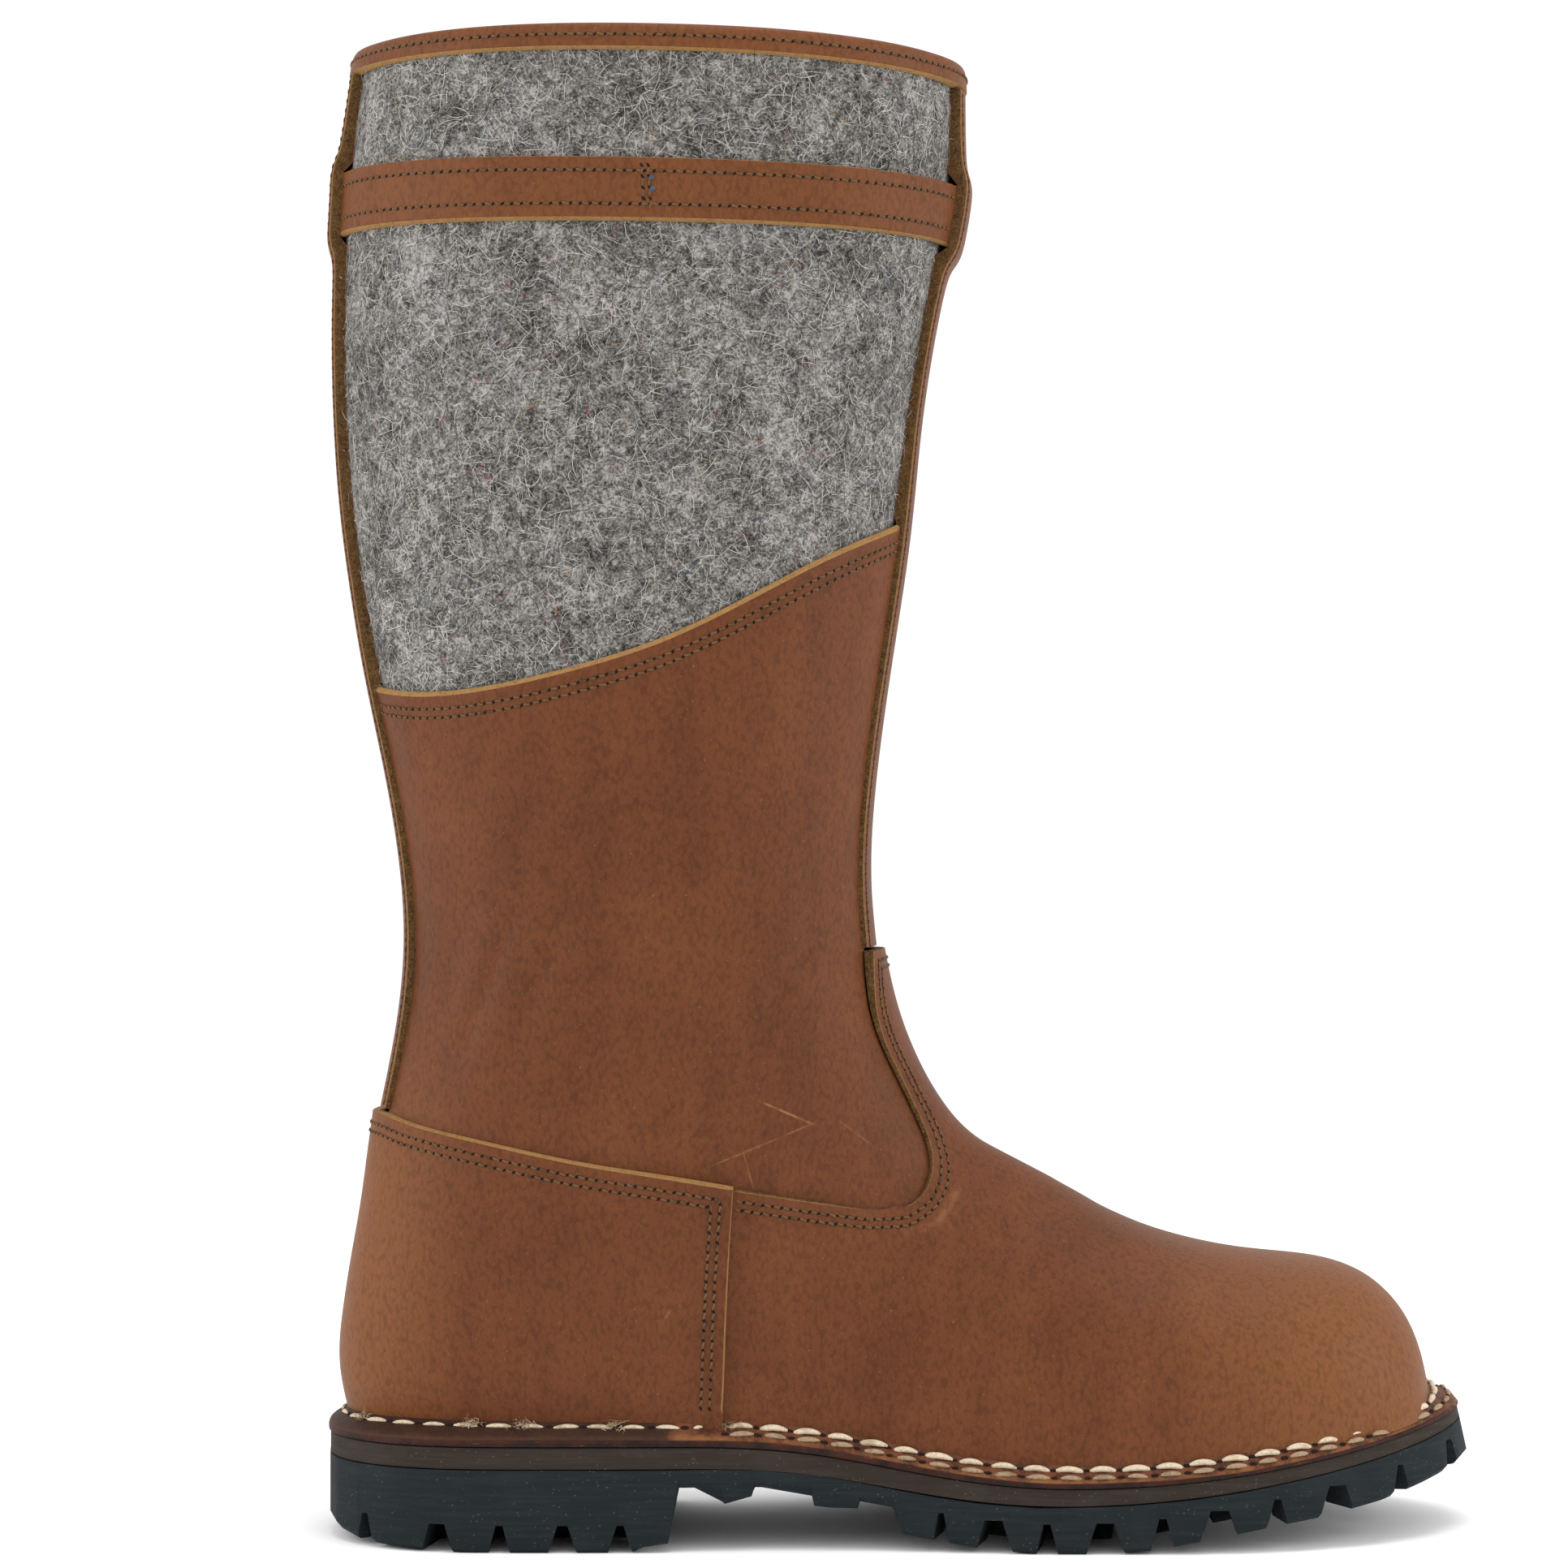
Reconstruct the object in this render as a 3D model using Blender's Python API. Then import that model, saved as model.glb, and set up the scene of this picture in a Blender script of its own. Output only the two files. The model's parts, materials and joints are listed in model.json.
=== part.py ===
"""Pull-on hunting boot for the left foot, standing empty on its sole.

Frame: +X to the toe, +Y to the outer side, +Z up, origin on the floor under the middle of the
boot's box. All sizes are in millimetres, and become metres where a mesh is made.
"""

import math

import bmesh
import bpy
import numpy as np

MM = 0.001

# Driving sizes
GAP = 0.3
SEAM_GAP = 0.6
SOLE_LENGTH = 306.0
HEEL_ROUND_FROM = -104.0
TOE_ROUND_FROM = 75.0
HEEL_ROUNDNESS = 2.3
TOE_ROUNDNESS = 2.1
SOLE_CHAMFER = 1.2
RUBBER_INSET = 0.5
MIDSOLE_THICK = 5.6
WELT_THICK = 2.7
INSOLE_THICK = 2.8
WALL = 2.4
SEAT_LIFT = 0.6
FOOT_SEAT_LIFT = 1.3
HEEL_SEAT_LIFT = 1.8
HEM_LIFT = 0.15
INSOLE_MARGIN = 1.2
QUARTER_LIFT = 1.8
STRIP_LIFT = 3.2
STRIP_FELT_LIFT = 2.3
STRIP_FELT_FADE = 24.0
VAMP_LIFT = 3.4
COUNTER_LIFT = 3.4
OVERLAP_LIFT = 1.6
STRIP_HALF_WIDTH = 14.0
STRAP_WIDTH = 16.5
STRAP_LIFT = 2.2
BINDING_DEPTH = 5.5
BINDING_THICK = 1.4
BINDING_OVER_STRIP = 1.5
RIM_RISE = 1.8
STRIP_BULGE_FADE = (0.8, 6.7)
BINDING_SWELL_FADE = (-2.0, 8.0)
SHARP_ANGLE = 35.0

# Grid sizes
LOOP_COLUMNS = 28
SOLE_STATIONS = 27
SHAFT_RINGS = 9
HEEL_RINGS = 8
WAIST_ARCHES = 10
TOE_ARCHES = 11
HEM_SAMPLES = 160
VAMP_COLUMNS = 7
QUARTER_STRIP_ROWS = 6
STRIP_PLAIN_ROWS = 12
STRIP_PLAIN_FROM = 26.0
STRIP_BULGE_ROWS = (-15.0, -12.0, -9.0, -4.0, 4.0, 9.0, 12.0, 15.0)

# Toe shape
TOE_NORMAL_ANGLE = 1.42
TOE_NORMAL_BACK = 2.0
WELT_SLOPE_WIDTH = 4.0
WELT_SLOPE_DROP = 1.1
TOE_PULL = {"welt": 4.2, "midsole": 3.4, "rubber_top": 2.8, "rubber_foot": 1.0}
TOE_PULL_FROM = 60.0

# The foot's turn outward from the shaft: where it starts and runs straight along the boot, its slope,
# the heights between which it fades out, and the eye point of the side view that the tables are drawn in
SWING_FROM = -80.0
SWING_STRAIGHT_FROM = -20.0
SWING_SLOPE = 0.12
SWING_FADE = (90.0, 180.0)
EYE = (-30.4, -1100.0, 200.0)

# Sole stations: middle line and half width of the welt edge, and top of the rubber, heel to toe
SOLE_COLUMNS = ("x", "centre", "half", "rubber_top")
SOLE_ROWS = (
    (-153.0, 0.0, 39.3, 21.5),
    (-110.0, 0.0, 39.3, 21.5),
    (-85.0, 0.3, 39.6, 21.5),
    (-60.0, 1.0, 40.2, 21.5),
    (-40.0, 1.8, 41.0, 21.4),
    (-22.0, 2.2, 42.4, 19.9),
    (-3.0, 2.2, 45.0, 16.5),
    (16.0, 1.8, 48.6, 13.4),
    (39.0, 0.6, 52.6, 12.0),
    (54.0, 0.0, 53.8, 12.5),
    (77.0, -2.3, 54.4, 14.6),
    (100.0, -4.6, 53.4, 18.2),
    (126.0, -7.0, 51.5, 23.1),
    (153.0, -9.0, 49.0, 29.6),
)

# Underside of the rubber: heel block, raked heel breast, arch with two low ribs, tread, toe spring
UNDERSIDE_COLUMNS = ("x", "z")
UNDERSIDE_ROWS = (
    (-153.0, 6.4),
    (-149.5, 3.6),
    (-143.5, 1.7),
    (-132.0, 0.7),
    (-116.0, 0.0),
    (-60.8, 0.0),
    (-58.3, 16.8),
    (-46.9, 16.8),
    (-46.3, 12.5),
    (-38.9, 12.5),
    (-38.3, 16.8),
    (-23.4, 16.4),
    (-22.8, 11.8),
    (-11.4, 10.6),
    (-10.8, 13.0),
    (-2.2, 11.6),
    (0.4, 4.6),
    (10.0, 2.8),
    (20.0, 1.3),
    (34.0, 0.0),
    (54.0, 0.0),
    (63.0, 0.9),
    (76.0, 3.2),
    (94.0, 6.6),
    (108.0, 8.6),
    (124.0, 11.6),
    (139.0, 15.6),
    (153.0, 19.6),
)

# Notches cut into the sole's edge on both sides: place along the boot and width at roof and mouth
NOTCH_COLUMNS = ("x", "roof_width", "mouth_width")
NOTCH_ROWS = (
    (-141.0, 1.8, 6.0),
    (-121.0, 4.2, 8.4),
    (-104.5, 1.8, 6.2),
    (-88.0, 2.6, 8.2),
    (-73.0, 1.8, 7.2),
    (10.0, 1.4, 4.8),
    (23.4, 4.6, 9.6),
    (37.0, 1.8, 6.2),
    (52.0, 4.6, 10.0),
    (66.5, 1.8, 6.4),
    (81.0, 4.6, 9.8),
    (96.0, 1.8, 6.2),
    (112.0, 4.6, 9.6),
    (130.0, 1.6, 6.0),
    (146.0, 3.0, 6.0),
)
NOTCH_DEPTH = 19.0
NOTCH_OUTSIDE = 5.0
HEEL_NOTCH_HEIGHT = 7.2
TREAD_NOTCH_HEIGHT = 8.4
NOTCH_MOST_SHARE = 0.66
NOTCH_MOUTH_FLARE = 1.4
CHANNEL_WIDTHS = (4.2, 7.2)
CHANNEL_INSET = 20.0
CHANNEL_ROUND = 26.0
CHANNEL_LEAST_HALF = 4.0
HEEL_CHANNEL_ENDS = (-132.0, -52.0)
TREAD_CHANNEL_ENDS = (-8.0, 126.0)
HEEL_ROOF_ENDS = (-100.0, -100.0)
TREAD_ROOF_ENDS = (34.0, 150.0)
CROSS_WIDTHS = (3.0, 7.0)
CUT_BELOW = 6.0
CHANNEL_SHALLOWER = 0.4
CROSS_CHANNELS = (-96.0, -77.0, 16.5, 37.0, 58.0, 79.0, 100.0)

# Sections of the upper's felt surface, collar to toe. Each lies in a plane through a front (or top)
# point and a back (or bottom) point: horizontal in the shaft, fanned round instep and toe
SECTION_COLUMNS = (
    "front_x", "front_z", "back_x", "back_z",
    "half", "front_y", "back_y", "widest", "front_round", "back_round",
)  # fmt: skip
SECTION_ROWS = (
    (16.1, 402.4, -142.7, 405.2, 51.6, 0.0, 0.0, 0.50, 2.25, 2.25),
    (16.2, 390.5, -143.9, 393.8, 51.6, 0.0, 0.0, 0.50, 2.25, 2.25),
    (16.5, 371.0, -147.1, 374.5, 51.6, 0.0, 0.0, 0.50, 2.25, 2.25),
    (15.1, 351.2, -148.3, 354.2, 51.4, 0.0, 0.0, 0.50, 2.25, 2.25),
    (11.5, 336.0, -149.4, 337.5, 51.0, 0.0, 0.0, 0.50, 2.25, 2.25),
    (5.3, 302.0, -149.6, 303.0, 49.9, 0.0, 0.0, 0.50, 2.25, 2.25),
    (0.9, 267.0, -147.1, 267.0, 48.4, 0.0, 0.0, 0.50, 2.25, 2.25),
    (-4.4, 232.0, -141.0, 232.0, 46.4, 0.0, 0.0, 0.50, 2.25, 2.25),
    (-9.0, 197.0, -133.4, 197.0, 44.0, 0.0, 0.0, 0.50, 2.22, 2.25),
    (-10.0, 172.0, -129.5, 168.0, 42.2, 0.0, 0.0, 0.50, 2.20, 2.25),
    (-7.6, 152.5, -130.0, 143.0, 40.8, 0.0, 0.0, 0.49, 2.20, 2.28),
    (-4.6, 142.5, -133.2, 126.0, 39.9, 0.0, 0.0, 0.48, 2.20, 2.32),
    (-0.4, 131.5, -136.9, 108.0, 38.8, -0.2, 0.0, 0.47, 2.20, 2.38),
    (4.0, 121.5, -140.5, 88.0, 37.5, -0.5, 0.0, 0.46, 2.20, 2.45),
    (8.6, 113.5, -144.5, 70.0, 36.2, -0.8, 0.0, 0.45, 2.20, 2.52),
    (13.2, 107.6, -147.1, 52.0, 35.0, -1.1, 0.2, 0.45, 2.20, 2.58),
    (18.2, 103.1, -146.8, 34.0, 34.0, -1.5, 0.4, 0.45, 2.20, 2.60),
    (23.6, 99.9, -128.0, 17.0, 33.3, -1.9, 0.8, 0.45, 2.20, 2.60),
    (29.8, 96.8, -95.0, 10.0, 32.9, -2.3, 1.4, 0.45, 2.20, 2.60),
    (37.2, 93.0, -58.0, 8.0, 33.4, -2.8, 2.2, 0.44, 2.20, 2.64),
    (45.8, 88.5, -20.0, 4.0, 36.2, -3.4, 2.7, 0.43, 2.20, 2.75),
    (56.0, 83.2, 14.0, 1.0, 40.6, -4.0, 2.2, 0.42, 2.22, 2.90),
    (67.4, 78.4, 42.0, 0.0, 44.6, -4.7, 0.8, 0.42, 2.24, 3.00),
    (80.6, 74.7, 66.0, 2.0, 46.2, -5.4, -1.0, 0.41, 2.26, 3.00),
    (94.7, 72.3, 86.0, 6.0, 45.4, -6.2, -3.0, 0.39, 2.28, 3.00),
    (108.2, 71.2, 100.0, 12.0, 43.2, -7.0, -4.8, 0.33, 2.28, 2.80),
    (120.2, 68.7, 109.0, 18.0, 40.6, -7.6, -6.0, 0.23, 2.26, 2.60),
    (129.4, 62.9, 112.5, 23.0, 38.2, -8.0, -6.6, 0.12, 2.24, 2.40),
    (134.4, 54.0, 115.6, 27.2, 36.6, -8.3, -6.8, 0.05, 2.22, 2.20),
    (137.0, 45.4, 118.2, 29.9, 35.7, -8.5, -7.0, 0.01, 2.20, 2.10),
    (138.0, 35.9, 120.6, 31.6, 35.0, -8.6, -7.1, 0.00, 2.20, 2.10),
)
RIM_ROW = 1
STRAP_ROW = 3
ANKLE_ROW = 9
HEEL_ROWS = (12, 17)
WAIST_ROW = 20
TOE_ROW = 24
FANNED_TOE_WIDEST = 0.15
CLOSED_RING_WIDEST = 0.2

# Seam lines in the side view, drawn on the boot's inner side and mirrored to the outer side
FELT_LINE = (
    (-118.0, 224.0),
    (-94.0, 228.0),
    (-71.0, 234.0),
    (-46.0, 245.0),
    (-18.0, 260.0),
)
FELT_LINE_BACK_Z = 226.0
FELT_LINE_FRONT_Z = 269.0
FELT_LINE_END_ANGLE = 0.35
COUNTER_CORNER = (-43.0, 95.0)
COUNTER_TOP = ((-74.0, 100.4), (-97.0, 104.4), (-122.0, 109.6))
COUNTER_TOP_BACK_Z = 112.5
COUNTER_FRONT = ((-44.0, 79.0), (-45.0, 60.0))
COUNTER_FOOT_X = -46.0
INSTEP_CURVE = (
    (-8.1, 146.7),
    (-7.1, 139.6),
    (-4.7, 131.6),
    (0.6, 121.0),
    (5.6, 110.5),
    (8.2, 103.5),
    (8.3, 98.0),
    (6.2, 92.4),
)
WING_TOP = (
    (0.5, 89.2),
    (-7.0, 89.2),
    (-19.0, 90.9),
    (-31.0, 93.0),
)
VAMP_TIP_Z = 156.0
TIP_LENGTH = 34.0
COUNTER_TOP_NODES = 9
COUNTER_FRONT_NODES = 7
VAMP_RIDGE_AHEAD = 16.0
VAMP_RIDGE_RUNS = (406.0, 418.0, 442.0)
VAMP_ROW_BEND = 2.0
VAMP_HEM_NODES = (9, 7)

# Colours and finishes: base colour, roughness
FINISHES = {
    "black_rubber": ((0.018, 0.022, 0.024), 0.75),
    "taupe_rubber": ((0.062, 0.042, 0.031), 0.8),
    "welt_leather": ((0.045, 0.018, 0.011), 0.6),
    "brown_leather": ((0.19, 0.066, 0.024), 0.45),
    "insole_leather": ((0.33, 0.22, 0.13), 0.8),
    "grey_felt": ((0.24, 0.23, 0.22), 0.95),
}


def column_table(names, rows):
    """The rows of a table as one array for each named column."""
    return {name: np.array(values) for name, values in zip(names, zip(*rows))}


def smooth_curve(knots, values):
    """A natural cubic spline through values at knots, as a function of one number."""
    knots = np.asarray(knots, float)
    values = np.asarray(values, float)
    count = len(knots)
    step = np.diff(knots)
    matrix = np.eye(count)
    right = np.zeros(values.shape)
    for i in range(1, count - 1):
        matrix[i, i - 1 : i + 2] = (step[i - 1], 2 * (step[i - 1] + step[i]), step[i])
        ahead = (values[i + 1] - values[i]) / step[i]
        behind = (values[i] - values[i - 1]) / step[i - 1]
        right[i] = 6 * (ahead - behind)
    bend = np.linalg.solve(matrix, right)

    def at(where):
        i = int(np.clip(np.searchsorted(knots, where) - 1, 0, count - 2))
        left = (where - knots[i]) / step[i]
        rest = 1 - left
        curve = (left**3 - left) * bend[i + 1] + (rest**3 - rest) * bend[i]
        return rest * values[i] + left * values[i + 1] + curve * step[i] ** 2 / 6

    return at


def smooth_step(value, start, end):
    """0 before start, 1 after end, and an even rise between them."""
    t = min(max((value - start) / (end - start), 0.0), 1.0)
    return t * t * (3 - 2 * t)


def root_between(function, low, high, rounds=48):
    """Where a rising function crosses zero, by halving the interval."""
    for _ in range(rounds):
        middle = (low + high) / 2
        if function(middle) < 0:
            low = middle
        else:
            high = middle
    return (low + high) / 2


def even_nodes(points, count):
    """Points evenly spaced along a smooth curve through the given plane points."""
    points = np.array(points, float)
    run = np.concatenate([[0], np.cumsum(np.linalg.norm(np.diff(points, axis=0), axis=1))])
    curve = smooth_curve(run, points)
    return [curve(run[-1] * i / (count - 1)) for i in range(count)]


class Sole:
    """Outline and heights of the sole's layers."""

    def __init__(self):
        table = column_table(SOLE_COLUMNS, SOLE_ROWS)
        self.centre = smooth_curve(table["x"], table["centre"])
        self.half = smooth_curve(table["x"], table["half"])
        self.rubber_top = smooth_curve(table["x"], table["rubber_top"])
        self.under = column_table(UNDERSIDE_COLUMNS, UNDERSIDE_ROWS)

    def underside(self, x):
        return float(np.interp(x, self.under["x"], self.under["z"]))

    def midsole_top(self, x):
        return self.rubber_top(x) + GAP + MIDSOLE_THICK

    def welt_top(self, x):
        return self.midsole_top(x) + GAP + WELT_THICK

    def seat(self, x):
        """Height of the upper's lower edge, a gap above the welt."""
        return self.welt_top(x) + GAP

    def edge(self, x, inset=0.0):
        """(middle line, half width) at x, rounded off at heel and toe."""
        end = SOLE_LENGTH / 2
        station = x * end / (end - inset)
        if station > TOE_ROUND_FROM:
            share, power = (station - TOE_ROUND_FROM) / (end - TOE_ROUND_FROM), TOE_ROUNDNESS
        elif station < HEEL_ROUND_FROM:
            share, power = (HEEL_ROUND_FROM - station) / (end + HEEL_ROUND_FROM), HEEL_ROUNDNESS
        else:
            share, power = 0.0, 2.0
        rounding = max(0.0, 1 - min(share, 1.0) ** power) ** (1 / power)
        return self.centre(station), (self.half(station) - inset) * rounding

    def loop(self, stations, height, inset, toe_pull):
        """Points round the edge at the stations: heel tip, outer side, toe tip, inner side.

        The toe is drawn back by toe_pull, so that the sole's front face rakes.
        """
        scale = 1 - 2 * inset / SOLE_LENGTH
        outer, inner = [], []
        for station in stations:
            middle, half = self.edge(station * scale, inset)
            x = station * scale - toe_pull * smooth_step(station, TOE_PULL_FROM, SOLE_LENGTH / 2)
            outer.append((x, middle + half, height(x)))
            inner.append((x, middle - half, height(x)))
        return outer + inner[-2:0:-1]


class Last:
    """The upper's felt surface: a fan of sections from above the collar to the toe."""

    def __init__(self, sole):
        self.sole = sole
        rows = np.array(SECTION_ROWS)
        steps = np.diff(rows[:, :4], axis=0)
        travel = (np.linalg.norm(steps[:, :2], axis=1) + np.linalg.norm(steps[:, 2:], axis=1)) / 2
        self.knots = np.concatenate([[0], np.cumsum(travel)])
        self.curve = smooth_curve(self.knots, rows)
        self.end = self.knots[-1]
        self.rim = self.knots[RIM_ROW]
        self.strap = self.knots[STRAP_ROW]

    def rim_run(self, angle):
        """Run of the collar's edge, which stands a little higher at the sides."""
        return self.rim - RIM_RISE * math.sin(angle) ** 2

    def section(self, run):
        row = dict(zip(SECTION_COLUMNS, self.curve(run)))
        row["widest"] = max(row["widest"], 0.0)
        return row

    def surface(self, run, angle):
        """Point on the felt. Angle 0 is the front or top, positive angles are the outer side."""
        row = self.section(run)
        along, across = math.cos(angle), math.sin(angle)
        if along >= 0:
            power = 2 / row["front_round"]
            share = row["widest"] + (1 - row["widest"]) * along**power
        else:
            power = 2 / row["back_round"]
            share = row["widest"] * (1 - (-along) ** power)
        side = math.copysign(abs(across) ** power, across)
        return np.array(
            (
                row["back_x"] + share * (row["front_x"] - row["back_x"]),
                row["back_y"] + share * (row["front_y"] - row["back_y"]) + side * row["half"],
                row["back_z"] + share * (row["front_z"] - row["back_z"]),
            )
        )

    def normal(self, run, angle):
        """Outward direction. The toe's sections all end near one point, so it is taken inside them."""
        ahead, turn = 0.5, 0.02
        if self.section(run)["widest"] < FANNED_TOE_WIDEST:
            angle = max(-TOE_NORMAL_ANGLE, min(TOE_NORMAL_ANGLE, angle))
            run = min(run, self.end - TOE_NORMAL_BACK)
        down = self.surface(run + ahead, angle) - self.surface(run - ahead, angle)
        across = self.surface(run, angle + turn) - self.surface(run, angle - turn)
        out = np.cross(down, across)
        return out / np.linalg.norm(out)

    def point(self, run, angle, lift):
        """Point at a height over the felt, along its normal."""
        return self.surface(run, angle) + lift * self.normal(run, angle)

    def angle_at(self, run, share):
        """Outer-side angle of the point at a share of the way from back to front."""
        row = self.section(run)
        widest = row["widest"]
        if share >= widest:
            along = min(1.0, (share - widest) / (1 - widest)) ** (row["front_round"] / 2)
        else:
            along = -(min(1.0, (widest - share) / widest) ** (row["back_round"] / 2))
        return math.acos(along)

    def locate(self, x, z, lift=0.0):
        """(run, angle) of the outer-side point that shows at (x, z) in the side view."""
        target = np.array((x, z))
        for _ in range(6 if lift else 1):

            def beyond(run, target=target):
                row = self.section(run)
                front = np.array((row["front_x"], row["front_z"]))
                back = np.array((row["back_x"], row["back_z"]))
                chord, arm = front - back, target - back
                return chord[0] * arm[1] - chord[1] * arm[0]

            run = root_between(beyond, 0.0, self.end)
            row = self.section(run)
            back = np.array((row["back_x"], row["back_z"]))
            chord = np.array((row["front_x"], row["front_z"])) - back
            share = float(np.clip(np.dot(target - back, chord) / np.dot(chord, chord), 0, 1))
            angle = self.angle_at(run, share)
            if lift:
                shown = self.point(run, angle, lift)
                target = target + np.array((x, z)) - shown[[0, 2]]
        return run, angle

    def run_at_height(self, z, angle):
        """Run at which a lengthwise line of the shaft comes down to height z."""
        return root_between(lambda run: z - self.surface(run, angle)[2], 0.0, self.knots[HEEL_ROWS[1]])

    def foot_angle(self, run):
        """Angle at which a section meets the welt, or a half turn where it is a closed ring."""
        row = self.section(run)

        def above(share):
            x = row["back_x"] + share * (row["front_x"] - row["back_x"])
            z = row["back_z"] + share * (row["front_z"] - row["back_z"])
            return z - self.sole.seat(x)

        if above(0.0) >= 0:
            return math.pi if row["widest"] > CLOSED_RING_WIDEST else math.pi / 2
        return self.angle_at(run, root_between(above, 0.0, 1.0))

    def heel_run(self):
        """Run of the last closed section, whose back point is at the heel's lower edge."""
        return root_between(
            lambda run: self.sole.seat(self.section(run)["back_x"]) - self.section(run)["back_z"],
            self.knots[HEEL_ROWS[0]],
            self.knots[HEEL_ROWS[1]],
        )

    def even_hem_runs(self, end, count):
        """Runs from the heel on whose points on the lower edge lie evenly along it."""
        runs = np.linspace(self.heel_run(), end, HEM_SAMPLES)
        edge = np.array([self.surface(run, self.foot_angle(run)) for run in runs])
        travel = np.linalg.norm(np.diff(edge, axis=0), axis=1)
        along = np.concatenate([[0], np.cumsum(travel)])
        return [float(run) for run in np.interp(np.linspace(0, along[-1], count), along, runs)]

    def front_edge(self, run, half_width):
        """Angle at which a strip of this half width down the front has its edge."""
        row = self.section(run)
        return math.asin((half_width / row["half"]) ** (row["front_round"] / 2))

    def back_edge(self, run, half_width):
        """Angle at which a strip of this half width down the back has its edge."""
        row = self.section(run)
        return math.pi - math.asin((half_width / row["half"]) ** (row["back_round"] / 2))


def finish_of(name):
    """A material with the finish's colour and roughness, made once."""
    material = bpy.data.materials.get(name)
    if material:
        return material
    colour, roughness = FINISHES[name]
    material = bpy.data.materials.new(name)
    material.use_nodes = True
    shader = material.node_tree.nodes["Principled BSDF"]
    shader.inputs["Base Color"].default_value = (*colour, 1.0)
    shader.inputs["Roughness"].default_value = roughness
    shader.inputs["Metallic"].default_value = 0.0
    return material


def new_object(name, points, faces, finish=None):
    """A mesh object from points in millimetres and faces."""
    mesh = bpy.data.meshes.new(name)
    mesh.from_pydata([tuple(float(v) * MM for v in point) for point in points], [], faces)
    work = bmesh.new()
    work.from_mesh(mesh)
    bmesh.ops.recalc_face_normals(work, faces=work.faces)
    work.to_mesh(mesh)
    work.free()
    obj = bpy.data.objects.new(name, mesh)
    bpy.context.scene.collection.objects.link(obj)
    if finish:
        mesh.materials.append(finish_of(finish))
        mesh.shade_smooth()
        mesh.set_sharp_from_angle(angle=math.radians(SHARP_ANGLE))
    return obj


def sheet_solid(name, faces, outer, inner, finish):
    """A closed solid from a sheet's outer and inner points, with its free edges walled."""
    count = len(outer)
    uses = {}
    for face in faces:
        for a, b in zip(face, face[1:] + face[:1]):
            uses[frozenset((a, b))] = None if frozenset((a, b)) in uses else (a, b)
    walls = [(b, a, a + count, b + count) for a, b in filter(None, uses.values())]
    backs = [tuple(v + count for v in reversed(face)) for face in faces]
    return new_object(name, list(outer) + list(inner), list(faces) + backs + walls, finish)


def grid_faces(rows, columns, ring=False):
    """Quads of a grid of rows x columns points. A ring joins its last column to its first."""
    faces = []
    for r in range(rows - 1):
        for c in range(columns if ring else columns - 1):
            after = (c + 1) % columns
            faces.append(
                (
                    r * columns + c,
                    (r + 1) * columns + c,
                    (r + 1) * columns + after,
                    r * columns + after,
                )
            )
    return faces


def patch_solid(name, last, places, lifts, finish, ring=False, hem=()):
    """A piece of leather on the felt.

    places is a grid of (run, angle), lifts gives (inner, outer) height over the felt for each
    grid place, and hem lists the grid places that stand on the welt.
    """
    rows, columns = len(places), len(places[0])
    layers = []
    for layer in (1, 0):
        points = []
        for r in range(rows):
            for c in range(columns):
                run, angle = places[r][c]
                point = last.point(run, angle, lifts(r, c)[layer])
                if (r, c) in hem:
                    point[2] = last.sole.seat(point[0]) + HEM_LIFT
                points.append(point)
        layers.append(points)
    return sheet_solid(name, grid_faces(rows, columns, ring), *layers, finish)


def stations_between(start, end, count):
    """Places from start to end that crowd towards both ends, where an outline is round."""
    middle, reach = (start + end) / 2, (end - start) / 2
    return [middle - reach * math.cos(math.pi * i / (count - 1)) for i in range(count)]


def layer_solid(name, loops, finish=None):
    """A solid stacked from edge loops, top to bottom, closed across from side to side."""
    size = len(loops[0])
    half = size // 2
    points = [point for loop in loops for point in loop]
    faces = []
    for level in range(len(loops) - 1):
        for i in range(size):
            j = (i + 1) % size
            top, low = level * size, (level + 1) * size
            faces.append((top + i, top + j, low + j, low + i))
    for start in (0, (len(loops) - 1) * size):
        for i in range(half):
            right, left = (size - i) % size, (size - i - 1) % size
            corners = list(dict.fromkeys((i, i + 1, left, right)))
            faces.append(tuple(start + corner for corner in corners))
    return new_object(name, points, faces, finish)


def cutter(name, solids):
    """One hidden cutting tool joined from separate solids, each (points, faces)."""
    points, faces = [], []
    for solid_points, solid_faces in solids:
        start = len(points)
        points += solid_points
        faces += [tuple(start + v for v in face) for face in solid_faces]
    obj = new_object(name, points, faces)
    obj.hide_render = True
    obj.display_type = "WIRE"
    return obj


def cut_away(obj, tool):
    modifier = obj.modifiers.new(tool.name, "BOOLEAN")
    modifier.operation = "DIFFERENCE"
    modifier.solver = "EXACT"
    modifier.use_self = True
    modifier.object = tool


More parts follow.
